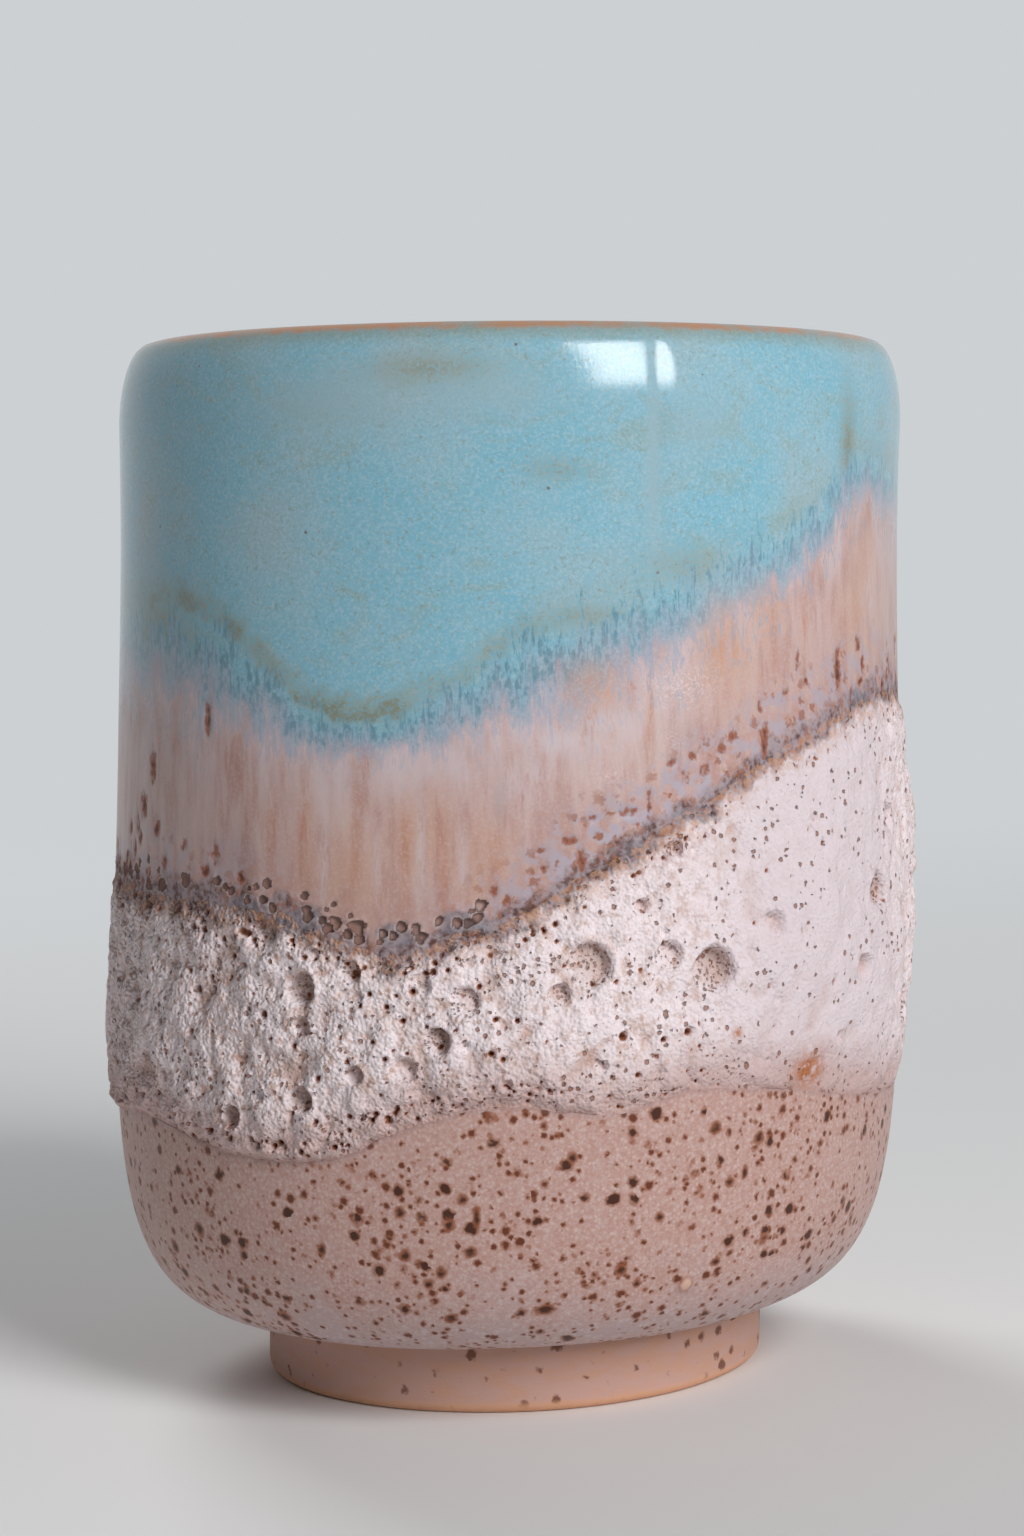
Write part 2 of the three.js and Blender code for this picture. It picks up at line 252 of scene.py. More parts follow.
def closed_wave(points, angles):
    """A smooth closed curve through points by angle, read at angles in radians."""
    keys, values = np.array(points, float).T
    rises = np.diff(values) / np.diff(keys)
    slopes = (rises + np.roll(rises, 1)) / 2
    slopes = np.append(slopes, slopes[0])
    degrees = (np.degrees(angles) + 180) % 360 - 180
    left = np.clip(np.searchsorted(keys, degrees, side="right") - 1, 0, len(rises) - 1)
    span = keys[left + 1] - keys[left]
    share = (degrees - keys[left]) / span
    rest = 1 - share
    ends = rest**2 * (1 + 2 * share) * values[left] + share**2 * (1 + 2 * rest) * values[left + 1]
    return ends + span * share * rest * (rest * slopes[left] - share * slopes[left + 1])


# Columns of the fine meshes in degrees, closer together on the front
FRONT_REACH = 80
FRONT_STEP = 0.29
BACK_STEP = 0.58
front_columns = np.arange(-FRONT_REACH, FRONT_REACH, FRONT_STEP)
back_columns = np.arange(FRONT_REACH, 360 - FRONT_REACH, BACK_STEP)
columns = np.radians(np.concatenate([front_columns, back_columns]))


def bumps(points, wavelength):
    """Smooth noise from -1 to 1 at each point, with bumps about a wavelength across."""
    flat = (points / wavelength).reshape(-1, 3).tolist()
    return np.array([noise.noise(point) for point in flat]).reshape(points.shape[:-1])


def grains(points, size):
    """Height at each point of close-packed round grains about a size across, from -0.5 to 0.5."""
    flat = (points / size).reshape(-1, 3).tolist()
    nearest = [noise.voronoi(point)[0][0] for point in flat]
    return 0.5 - np.array(nearest).reshape(points.shape[:-1])


def full_turn(sides):
    """Angles of a number of sides, once round."""
    return np.arange(sides) * 2 * np.pi / sides


def ring_points(radius, angles, height):
    """Points at radii and heights, at angles that go round from the front."""
    turn = angles[:, None]
    x = radius * np.sin(turn)
    y = -radius * np.cos(turn)
    return np.stack([x, y, np.broadcast_to(height, x.shape)], -1)


def wall_points(along, off=coat_depth):
    """Points of the outer wall before it leans, by column and by length along its outline."""
    radius, height = outer.at(along, off)
    return ring_points(radius, columns, height)


def ragged(angles, wavelength, size):
    """A closed random waver round the wall."""
    ring = np.stack([np.sin(angles), np.cos(angles), np.zeros_like(angles)], -1) * BODY_RADIUS
    return size * bumps(ring + wavelength, wavelength)


def meeting_line(points, *wavers):
    """Length along the outer outline where two glazes meet, by column, with ragged wavers added."""
    height = FOOT_HEIGHT + closed_wave(points, columns) / 100 * (HEIGHT - FOOT_HEIGHT)
    return outer.along_at(height) + sum(ragged(columns, *waver) for waver in wavers)


# Wavelength and size of the wavers on both edges of the crater band
BAND_TOP_WAVERS = [[5, 0.5], [1.8, 0.5], [0.9, 0.3]]
BAND_LOW_WAVERS = [[6, 0.35], [1.6, 0.25], [0.8, 0.14]]

turquoise_line = meeting_line(TURQUOISE_LINE)
solid_line = turquoise_line + closed_wave(FRINGE_RISE, columns)
thread_line = turquoise_line - closed_wave(FRINGE_HANG, columns)
band_top_line = meeting_line(BAND_TOP_LINE, *BAND_TOP_WAVERS)
band_low_line = meeting_line(BAND_LOW_LINE, *BAND_LOW_WAVERS)
coarseness = closed_wave(STUCCO_WAVE, columns)


def lean(points):
    """The mug's lean and the dip of its rim, then the shift that centres it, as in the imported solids."""
    share = points[..., 2] / HEIGHT
    foot_low, foot_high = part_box("foot_ring")
    foot_left = FOOT_OFFSET - FOOT_RADIUS + LEAN * FOOT_EDGE / HEIGHT
    leaned = points.copy()
    leaned[..., 0] += LEAN * share + foot_low.x / MM - foot_left
    leaned[..., 1] += (foot_low.y + foot_high.y) / 2 / MM
    leaned[..., 2] -= RIM_TILT * points[..., 0] / BODY_RADIUS * share
    return leaned


SHARP_ANGLE = 70


def make_piece(name, node, points, faces, fields, material):
    """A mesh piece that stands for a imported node, with a number field for each name."""
    mesh = bpy.data.meshes.new(name)
    mesh.from_pydata((lean(points.reshape(-1, 3)) * MM).tolist(), [], faces)
    for field, values in fields.items():
        attribute = mesh.attributes.new(field, "FLOAT", "POINT")
        attribute.data.foreach_set("value", np.ascontiguousarray(values, np.float32).ravel())
    mesh.shade_smooth()
    mesh.set_sharp_from_angle(angle=math.radians(SHARP_ANGLE))
    mesh.materials.append(material)
    piece = bpy.data.objects.new(name, mesh)
    bpy.context.scene.collection.objects.link(piece)
    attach(piece, "root")
    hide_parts(node)


def ring_faces(count, corners):
    """Quads of a closed ring of sections, each closed on itself."""
    here = np.arange(count)[:, None] * corners
    beyond = np.roll(here, -1, axis=0)
    corner = np.arange(corners)[None, :]
    after = np.roll(corner, -1, axis=1)
    quads = np.stack([here + corner, beyond + corner, beyond + after, here + after], -1)
    return quads.reshape(-1, 4).tolist()


BACK_ROW_STEP = 8
THIN_GLAZE = 0.15


def coat_section(along):
    """Rows of a coat's face, followed by the few rows of its back."""
    last = along.shape[1] - 1
    back = np.unique(np.append(np.arange(0, last, BACK_ROW_STEP), last))[::-1]
    return np.concatenate([along, along[:, back]], axis=1)


def make_coat(name, node, along, relief, fields, material):
    """A glaze coat on the outer wall, from the relief and fields of all rows of its section."""
    section = coat_section(along)
    rows = along.shape[1]
    off = np.full(section.shape, BOND_GAP)
    off[:, :rows] = np.maximum(coat_depth + relief[:, :rows], BOND_GAP + THIN_GLAZE)
    make_piece(name, node, wall_points(section, off), ring_faces(*section.shape), fields, material)


def rows_between(low, high, count, crowd=0.0):
    """Evenly spaced rows from one line to another, crowded at both ends by a share."""
    share = np.linspace(0, 1, count + 1)
    share = share - crowd * np.sin(2 * np.pi * share) / (2 * np.pi)
    return low[:, None] + (high - low)[:, None] * share


# Relief of the smooth coats: slow waves of a hand-thrown wall, and a crease down the turquoise that has a
# ridge on its right side
WALL_WAVE = 0.09
WALL_WAVE_LENGTH = 17
CREASE_ANGLE = 19.5
CREASE_DEPTH = 0.1
CREASE_WIDTH = 0.8
CREASE_FADE = 7
RIDGE_SHARE = 0.6
RIDGE_PLACE = 2.2
LIP_FADE = 5
CROWN_SINK = 0.02


def wall_relief(along):
    relief = WALL_WAVE * bumps(wall_points(along), WALL_WAVE_LENGTH)
    side = (columns[:, None] - math.radians(CREASE_ANGLE)) * BODY_RADIUS / CREASE_WIDTH
    crease = np.exp(-(side**2)) - RIDGE_SHARE * np.exp(-((side - RIDGE_PLACE) ** 2) / 2)
    reach = smooth(along, solid_line[:, None], solid_line[:, None] + CREASE_FADE)
    lip = smooth(outer.length - along, 0, LIP_FADE)
    return (relief - CREASE_DEPTH * crease * reach) * lip - CROWN_SINK * (1 - lip)


def band_swelling(along, low, high):
    """The crater band's swelling over the wall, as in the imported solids."""
    across = np.clip((along - low) / (high - low), 0, 1)
    turn = columns[:, None]
    skew = BAND_SKEW + BAND_SKEW_SWING * np.sin(turn)
    arch = np.sin(np.pi * across**skew)
    proud = BAND_PROUD + BAND_PROUD_SWING * np.sin(turn) - BAND_STEP
    for waves_round, waves_up, phase in LUMP_WAVES:
        proud = proud + LUMP_HEIGHT / 2 * np.sin(waves_round * turn + waves_up * across + phase)
    return BAND_STEP + proud * arch


def around(angle):
    """Millimetres round the wall from an angle in degrees to each column."""
    turn = (columns - math.radians(angle) + np.pi) % (2 * np.pi) - np.pi
    return turn * BODY_RADIUS


def line_at(line, angle):
    """Value of a line, given by column, at an angle in degrees."""
    return line[np.argmin(np.abs(around(angle)))]


def in_band(angle, share):
    """Length along the outline at an angle, a share of the way up the crater band."""
    low = line_at(band_low_line, angle)
    return low + share * (line_at(band_top_line, angle) - low)


def off_top(angle, step):
    """The same, a step above the crater band's upper edge."""
    return line_at(band_top_line, angle) + step


def off_low(angle, step):
    """The same, a step above the crater band's lower edge."""
    return line_at(band_low_line, angle) + step


def blots(places, section):
    """A soft blot at each place, given as angle, height, half width, half length and strength."""
    field = np.zeros(section.shape)
    for angle, height, wide, tall, strength in places:
        side = around(angle)[:, None] / wide
        up = (section - outer.along_at(height)) / tall
        field = np.maximum(field, strength * np.exp(-(side**2) - up**2))
    return field


# Stucco of the crater glaze: wavelength, height and upright stretch of each size of lump, then size and
# height of each size of round grain
STUCCO_LUMPS = [[3.2, 0.6, 1.3], [1.7, 0.32, 1.1], [0.6, 0.08, 1]]
STUCCO_GRAINS = [[2.4, 0.4], [1.1, 0.2]]
STUCCO_SINK = 0.49
STUCCO_CAP = 0.4
RELIEF_TOP = -0.08
PIT_SIZES = [0.8, 1.25]
PIT_FROM = 0.38
PIT_DEPTH = 0.8
LOW_EDGE_WIDTH = 1.1
TOP_EDGE_WIDTH = 1.7

# Shape of a burst bubble, in shares of its radius or depth
CRATER_FLOOR = 0.7
CRATER_RIM = 0.14
CRATER_RIM_PLACE = 1.1
CRATER_RIM_WIDTH = 0.16
CRATER_SHALLOW = 0.3
CRATER_SLANT = 1.3
CRATER_DEEPEN = 2.5
CRATER_CALM = 0.8
CRATER_PORE_REACH = 1.05
CRATER_WOBBLE = 0.1

# Large burst bubbles on the sides and back, spread evenly by steps of their angle, place and diameter. Places
# are shares of the band, and the depth is a share of the diameter
BACK_CRATERS = 20
BACK_CRATER_LEAST = 1.6
BACK_CRATER_SPREAD = 2.2
BACK_CRATER_LOW = 0.15
BACK_CRATER_REACH = 0.65
BACK_CRATER_DEPTH = 0.17
SCATTER_STEPS = [0.7549, 0.5698, 0.618]
FRONT_HALF_ANGLE = 50

# Small burst bubbles all round, with the range of their places and diameters
BAND_SEED = 11
SMALL_CRATERS = 46
SMALL_CRATER_PLACES = [0.06, 0.94]
SMALL_CRATER_SIZES = [0.7, 1.5]
SMALL_CRATER_DEPTH = 0.18

# Pinholes: how many, the range of their places, then their least and largest diameter. Places are shares of
# the band, or millimetres above its upper or lower edge
BAND_PINHOLES = [700, [0.05, 0.95], 0.28, 0.85]
TOP_PINHOLES = [620, [-3, -0.1], 0.3, 0.9]
LOW_PINHOLES = [420, [0.3, 2.2], 0.28, 0.7]
PINHOLE_DEPTH = 0.8
PINHOLE_FLOOR = 0.3
PINHOLE_REACH = 1.1
LEAST_COARSE = 0.7


class Pits:
    """Burst bubbles and pinholes pressed into a coat, by column and row of its section."""

    def __init__(self, section, ground, level):
        self.section = section
        self.points = wall_points(section)
        self.level = level
        self.lumps = ground.copy()
        self.relief = ground
        self.hollow, self.porous, self.rim, self.pinhole = np.zeros((4, *section.shape))

    def near(self, angle, reach):
        """Columns within a reach of an angle, and their distance from it round the wall."""
        side = around(angle)
        chosen = np.flatnonzero(np.abs(side) < reach)
        return chosen, side[chosen, None]

    def add_crater(self, angle, along, diameter, depth, pores, wobble=CRATER_WOBBLE):
        """A round hollow with a raised rim, calm inside and deeper towards its upper right side."""
        chosen, side = self.near(angle, diameter)
        across = side / (diameter / 2)
        up = (self.section[chosen] - along) / (diameter / 2)
        uneven = bumps(self.points[chosen], diameter / 2)
        distance = np.hypot(across, up) * (1 + wobble * uneven)
        bowl = 1 - smooth(distance, CRATER_FLOOR, 1)
        rim = np.exp(-(((distance - CRATER_RIM_PLACE) / CRATER_RIM_WIDTH) ** 2))
        slant = CRATER_SHALLOW + (1 - CRATER_SHALLOW) * smooth(across + up, -CRATER_SLANT, CRATER_SLANT)
        hollow = CRATER_DEEPEN * depth * diameter * slant
        for ground in (self.lumps, self.relief):
            ground[chosen] += CRATER_CALM * bowl * (self.level - ground[chosen])
        self.relief[chosen] += hollow * (CRATER_RIM * rim - bowl)
        self.hollow[chosen] += hollow * bowl
        spread = 1 - smooth(distance, CRATER_FLOOR, CRATER_PORE_REACH)
        self.porous[chosen] = np.maximum(self.porous[chosen], pores * spread)
        self.rim[chosen] = np.maximum(self.rim[chosen], rim)

    def add_pinhole(self, angle, along, diameter):
        chosen, side = self.near(angle, diameter)
        distance = np.hypot(side, self.section[chosen] - along) / (diameter / 2)
        hole = 1 - smooth(distance, PINHOLE_FLOOR, PINHOLE_REACH)
        self.relief[chosen] -= PINHOLE_DEPTH * diameter * hole
        self.hollow[chosen] += PINHOLE_DEPTH * diameter * hole
        self.pinhole[chosen] = np.maximum(self.pinhole[chosen], hole)


def back_craters():
    """Angle, share of the band and diameter of the large craters on the sides and back."""
    for place in range(BACK_CRATERS):
        turn, up, size = (step * place % 1 for step in SCATTER_STEPS)
        yield (
            FRONT_HALF_ANGLE + (360 - 2 * FRONT_HALF_ANGLE) * turn,
            BACK_CRATER_LOW + BACK_CRATER_REACH * up,
            BACK_CRATER_LEAST + BACK_CRATER_SPREAD * size,
        )


def pit_band(pits):
    """All craters and pinholes of the crater band."""
    random = np.random.default_rng(BAND_SEED)
    for angle, height, diameter, depth, pores in FRONT_CRATERS:
        pits.add_crater(angle, outer.along_at(height), diameter, depth, pores)
    for angle, share, diameter in back_craters():
        pits.add_crater(angle, in_band(angle, share), diameter, BACK_CRATER_DEPTH, random.uniform(0, 1))
    for _ in range(SMALL_CRATERS):
        angle = random.uniform(-180, 180)
        along = in_band(angle, random.uniform(*SMALL_CRATER_PLACES))
        pits.add_crater(angle, along, random.uniform(*SMALL_CRATER_SIZES), SMALL_CRATER_DEPTH, 0)
    for angle, height, diameter in FRONT_PITS:
        pits.add_pinhole(angle, outer.along_at(height), diameter)
    groups = [(in_band, BAND_PINHOLES), (off_top, TOP_PINHOLES), (off_low, LOW_PINHOLES)]
    for find, (count, places, least, most) in groups:
        for _ in range(count):
            angle = random.uniform(-180, 180)
            along = find(angle, random.uniform(*places))
            diameter = least + (most - least) * random.random() ** 2
            pits.add_pinhole(angle, along, diameter * max(line_at(coarseness, angle), LEAST_COARSE))


def stucco(section):
    """Lumps, grains and small pits of the crater glaze, coarser on the left than on the right."""
    points = wall_points(section)
    coarse = coarseness[:, None]
    relief = np.zeros(section.shape)
    for wavelength, height, stretch in STUCCO_LUMPS:
        relief += height * coarse * bumps(points / [1, 1, stretch], wavelength)
    for size, height in STUCCO_GRAINS:
        relief += height * coarse * grains(points, size)
    relief = np.where(relief > 0, STUCCO_CAP * np.tanh(relief / STUCCO_CAP), relief) - STUCCO_SINK
    for size in PIT_SIZES:
        relief -= PIT_DEPTH * coarse * np.clip(bumps(points + size, size) - PIT_FROM, 0, None)
    return relief


def band_relief(section, relief):
    """The crater band's swelling and its pitted stucco, drawn down to the wall at both edges."""
    low, high = band_low_line[:, None], band_top_line[:, None]
    low_edge = 1 - (1 - np.clip((section - low) / LOW_EDGE_WIDTH, 0, 1)) ** 2
    top_edge = smooth(high - section, 0, TOP_EDGE_WIDTH)
    face = band_swelling(section, low, high) + np.minimum(relief, RELIEF_TOP)
    return face * low_edge * top_edge


def tone(code):
    """Linear colour of a hex code as it looks on a screen."""
    shown = [int(code[place : place + 2], 16) / 255 for place in (0, 2, 4)]
    linear = [part / 12.92 if part <= 0.04045 else ((part + 0.055) / 1.055) ** 2.4 for part in shown]
    return (*linear, 1)


class Value:
    """A number, colour or place that varies over a surface, worked out by the nodes of a tree."""

    def __init__(self, nodes, socket):
        self.nodes = nodes
        self.socket = socket

    def calc(self, operation, other=0.0):
        return self.nodes.value("ShaderNodeMath", {0: self, 1: other}, operation=operation)

    def __add__(self, other):
        return self.calc("ADD", other)

    def __sub__(self, other):
        return self.calc("SUBTRACT", other)

    def __rsub__(self, other):
        return self.nodes.value("ShaderNodeMath", {0: other, 1: self}, operation="SUBTRACT")

    def __mul__(self, other):
        return self.calc("MULTIPLY", other)

    def __truediv__(self, other):
        return self.calc("DIVIDE", other)

    def most(self, other):
        """The larger of two numbers."""
        return self.calc("MAXIMUM", other)

    def swing(self, size):
        """Noise from 0 to 1, turned into a swing about zero."""
        return (self - 0.5) * size

    def step(self, low, high):
        """0 at one value, 1 at another, and a soft step between them."""
        inputs = {"Value": self, "From Min": low, "From Max": high}
        return self.nodes.value("ShaderNodeMapRange", inputs, interpolation_type="SMOOTHSTEP")

    def between(self, first, second):
        """The number that lies this share of the way from one to another."""
        return self.nodes.value("ShaderNodeMix", {0: self, 2: first, 3: second})

    def ramp(self, *stops):
        """A colour by value, through stops of a place and a colour."""
        made = self.nodes.node("ShaderNodeValToRGB", {0: self})
        elements = made.color_ramp.elements
        while len(elements) < len(stops):
            elements.new(1)
        for element, (place, colour) in zip(elements, stops):
            element.position = place
            element.color = colour
        return Value(self.nodes, made.outputs[0])


class Nodes:
    """A node tree, built by short calls."""

    def __init__(self, tree):
        self.tree = tree

    def feed(self, socket, value):
        if isinstance(value, Value):
            self.tree.links.new(value.socket, socket)
        else:
            socket.default_value = value

    def node(self, kind, inputs=(), **settings):
        made = self.tree.nodes.new(kind)
        for name, value in settings.items():
            setattr(made, name, value)
        for name, value in dict(inputs).items():
            self.feed(made.inputs[name], value)
        return made

    def value(self, kind, inputs=(), output=0, **settings):
        return Value(self, self.node(kind, inputs, **settings).outputs[output])


# Bends in the outline of a spot by its reach, and how far close-packed grains melt together
SPOT_BENDS = 2.2
GRAIN_MELT = 0.6


class Look(Nodes):
    """A material. Lengths are in millimetres."""

    def __init__(self, name, roughness, gloss=0.5):
        self.material = bpy.data.materials.new(name)
        self.material.use_nodes = True
        super().__init__(self.material.node_tree)
        self.shader = self.tree.nodes["Principled BSDF"]
        self.set("Roughness", roughness)
        self.set("Specular IOR Level", gloss)
        metres = self.value("ShaderNodeTexCoord", output="Object")
        self.place = self.stretched(metres, 1 / MM, 1 / MM)

    def set(self, name, value):
        self.feed(self.shader.inputs[name], value)

    def stretched(self, place, across, upright):
        inputs = {0: place, 1: (across, across, upright)}
        return self.value("ShaderNodeVectorMath", inputs, operation="MULTIPLY")

    def field(self, name):
        """A number field of the mesh, or 0 where the mesh has none of that name."""
        return self.value("ShaderNodeAttribute", output="Fac", attribute_name=name)

    def noise(self, size, stretch=1, detail=2, roughness=0.5, swirl=0.0):
        """Noise from 0 to 1 with patches about a size across, drawn out upright by a factor."""
        place = self.stretched(self.place, 1 / size, 1 / size / stretch)
        inputs = {"Vector": place, "Scale": 1, "Detail": detail, "Roughness": roughness, "Distortion": swirl}
        return self.value("ShaderNodeTexNoise", inputs, "Fac")

    def scatter(self, spacing, reach, share, soft, wobble=0.35, stretch=1):
        """Spots of up to a reach across, on a share of cells about a spacing apart: 1 inside."""
        place = self.stretched(self.place, 1, 1 / stretch)
        inputs = {"Vector": place, "Scale": SPOT_BENDS / reach, "Detail": 1}
        bend = self.value("ShaderNodeTexNoise", inputs, "Color")
        shift = self.value("ShaderNodeVectorMath", {0: bend, 1: (0.5,) * 3}, operation="SUBTRACT")
        inputs = {0: shift, 1: (wobble * reach * 2,) * 3, 2: place}
        bent = self.value("ShaderNodeVectorMath", inputs, operation="MULTIPLY_ADD")
        cells = self.node("ShaderNodeTexVoronoi", {"Vector": bent, "Scale": 1 / spacing})
        chance = self.value("ShaderNodeSeparateColor", {0: Value(self, cells.outputs["Color"])})
        size = chance.step(1 - share, 1) * (reach / 2)
        return (size - Value(self, cells.outputs["Distance"]) * spacing).step(-soft, soft)

    def grains(self, size):
        """Height of close-packed round grains of about a size."""
        inputs = {"Vector": self.place, "Scale": 1 / size, "Smoothness": GRAIN_MELT}
        return 1 - self.value("ShaderNodeTexVoronoi", inputs, "Distance", feature="SMOOTH_F1")

    def bump(self, height, depth, strength=1.0):
        """Fine relief of a depth, which the meshes are too coarse to hold."""
        inputs = {"Height": height, "Distance": depth * MM, "Strength": strength}
        self.set("Normal", self.value("ShaderNodeBump", inputs, "Normal"))


class Paint:
    """A colour of a material, built up in layers that are laid one over the other by masks from 0 to 1."""

    def __init__(self, look, base):
        self.look = look
        self.colour = base

    def lay(self, colour, mask):
        inputs = {0: mask, 6: self.colour, 7: colour}
        self.colour = self.look.value("ShaderNodeMix", inputs, 2, data_type="RGBA")


# Colours of the fired surfaces, and of the shade painted onto some of them
AQUA = tone("86b3c3")
AQUA_DEEP = tone("77b1c5")
AQUA_GREY = tone("93b0ba")
AQUA_PALE = tone("abc6d1")
AQUA_OLIVE = tone("8aa5a4")
OLIVE = tone("8a8668")
OLIVE_DARK = tone("6d7360")
DROPLET = tone("5e8998")
SKY = tone("7ca4b5")
LAVENDER = tone("8fa0b4")
ROSE = tone("c2b4bd")
MILK = tone("cfbfc2")
PEACH = tone("c2a29c")
PEACH_PALE = tone("ccb4ae")
TAN = tone("b08579")
ORANGE = tone("c49272")
# Painted shade inside the open bubbles
CAVITY_SHADE = tone("8a665b")
MAUVE = tone("7c6a70")
FROST = tone("9d8f94")
CLOUD = tone("aea2ad")
POOL = tone("918c95")
POOL_DARK = tone("605a61")
IRON = tone("8f4a28")
RUST = tone("955a3d")
RUST_DARK = tone("683622")
RUST_PALE = tone("b4734f")
BROWN = tone("472417")
STUCCO = tone("f0e2e5")
# Slight lilac tint of the smooth stucco, darkened as painted shade against the stronger light on the band's
# right side
STUCCO_SMOOTH_SHADE = tone("d7c9ce")
STUCCO_WARM = tone("e2cdc9")
# Painted shade: tan in the stucco's valleys and between its crumbs, and darker brown in deep crater floors
RECESS_SHADE = tone("bd9888")
STUCCO_SHADE = tone("866a5c")
SATIN = tone("b68e83")
SATIN_MILK = tone("caada7")
SATIN_PALE = tone("d4beb8")
SATIN_GREY = tone("bba9aa")
SATIN_MIST = tone("cfc0c2")
LIP = tone("b98560")
CLAY = tone("c9a194")
CLAY_WARM = tone("cc9d84")
CLAY_TOAST = tone("d9a583")
PEARL = tone("d6b29e")


def crystals(look):
    """Fine crystalline grain of the glossy glazes."""
    return look.noise(0.3, detail=3, roughness=0.7)


def turquoise_paint(look, grain):
    """Cloudy turquoise with olive wisps, pale crystals and fine flecks."""
    cloud = look.noise(10, stretch=1.3, detail=5, roughness=0.55)
    wisp = look.noise(8, stretch=0.55, detail=5, roughness=0.6, swirl=1.4)
    fleck = look.noise(0.47, detail=3, roughness=0.75)
    turquoise = Paint(look, cloud.ramp((0.33, AQUA_GREY), (0.46, AQUA), (0.6, AQUA_DEEP), (0.72, AQUA)))
    turquoise.lay(AQUA_OLIVE, wisp.step(0.52, 0.68) * 0.6)
    turquoise.lay(AQUA_PALE, grain.step(0.42, 0.68) * 0.55)
    turquoise.lay(OLIVE, fleck.step(0.46, 0.3) * 0.5)
    turquoise.lay(RUST_DARK, look.scatter(2.4, 0.34, 0.4, 0.05) * 0.7)
    return turquoise


def break_lip(look, glaze):
    """Glaze drawn thin over the crown, where the clay shows through as a rusty line."""
    edge = look.field("below_crown") + look.noise(1.1, detail=3).swing(0.7)
    patchy = look.noise(5, detail=4, roughness=0.6).step(0.36, 0.58).between(0.25, 1)
    glaze.lay(OLIVE, edge.step(2.4, 0.7) * 0.45)
    glaze.lay(LIP, edge.step(0.95, 0.3) * patchy)


def froth_paint(look):
    """Mauve-grey clumps of froth among brown and rusty pits."""
    clump = look.noise(2.8, detail=3).swing(0.6)
    fine = look.noise(0.7, detail=4, roughness=0.6) + clump
    rusty = look.noise(1.7, detail=3).step(0.5, 0.62) * look.noise(0.5, detail=2).step(0.4, 0.6)
    froth = Paint(look, fine.ramp((0.36, BROWN), (0.46, MAUVE), (0.6, FROST)))
    froth.lay(RUST, rusty * 0.8)
    return froth


def lay_froth(look, glaze, distance):
    """Ragged froth along the crater band's upper edge, wider where the stucco is coarse, and its pools."""
    near = distance / look.field("coarse").most(0.95)
    reach = near + look.noise(2.4, detail=4, roughness=0.6).swing(4.5)
    glaze.lay(froth_paint(look).colour, reach.step(2, 0.5) * 0.9)
    field = look.field("pool")
    pool = field + field.step(0.02, 0.3) * look.noise(1.3, detail=4).swing(1.6)
    pool_colour = look.noise(0.8, detail=3).ramp((0.36, POOL_DARK), (0.6, POOL))
    glaze.lay(pool_colour, pool.step(0.2, 0.7) * 0.75)


class PouredLook(Look):
    """Material of the poured glazes, with the noises and lines that their layers share."""

    def __init__(self, name):
        super().__init__(name, 0.2)
        self.grain = crystals(self)
        self.streak = self.noise(1.3, stretch=6, detail=3, roughness=0.6)
        self.thread = self.noise(0.4, stretch=4.5, detail=3, roughness=0.6, swirl=0.9)
        self.sheet = self.noise(4.5, stretch=2.2, detail=4)
        self.drift = self.noise(3, stretch=1.3, detail=4, roughness=0.6)
        waver = self.drift.swing(1) + (self.streak.swing(0.9) + self.thread.swing(1.1))
        self.hang = self.field("hang") + waver
        self.above_band = self.field("above_band")
        self.low = self.above_band + self.noise(2.2, detail=4).swing(6)


def settled_turquoise(look):
    """Turquoise with its olive line and patches, and greyer ones."""
    turquoise = turquoise_paint(look, look.grain)
    edge = look.field("above_solid") + look.noise(1.6, detail=4).swing(3.4)
    line = edge.step(-1.4, 0.2) * edge.step(3.2, 0.4)
    patchy = look.noise(5, detail=3).step(0.36, 0.6).between(0.4, 0.9)
    olive = (line * patchy * look.field("olive_line")).most(look.field("olive"))
    turquoise.lay(OLIVE, olive * look.grain.step(0.36, 0.6).between(0.25, 1))
    turquoise.lay(OLIVE_DARK, olive.step(0.6, 1) * 0.35)
    # Grey patches of the glaze, and painted shade down the crease
    turquoise.lay(AQUA_GREY, look.field("grey"))
    return turquoise


def blue_paint(look):
    """Fringe of blue threads and droplets, with the turquoise that it hangs from."""
    hang, thread, grain = look.hang, look.thread, look.grain
    blue = Paint(look, hang.ramp((0, ROSE), (0.3, LAVENDER), (0.6, SKY), (0.95, AQUA_DEEP)))
    blue.lay(LAVENDER, look.noise(2.6, stretch=1.6, detail=3).step(0.46, 0.64) * 0.5)
    blue.lay(AQUA_PALE, grain.step(0.45, 0.66) * 0.35)
    blue.lay(ROSE, thread.step(0.46, 0.64) * hang.step(1, 0.5) * 0.45)
    blue.lay(DROPLET, thread.step(0.5, 0.38) * hang.step(0.2, 0.5) * 0.65)
    wet = hang.step(0.3, 0.6) * hang.step(1.3, 0.85) * look.field("wet")
    for spacing, reach in ((0.5, 0.52), (0.75, 0.7)):
        blue.lay(DROPLET, look.scatter(spacing, reach, 0.9, 0.09, stretch=1.7) * wet * 0.7)
    blue.lay(settled_turquoise(look).colour, (hang + grain.swing(0.3)).step(0.7, 1.05))
    return blue


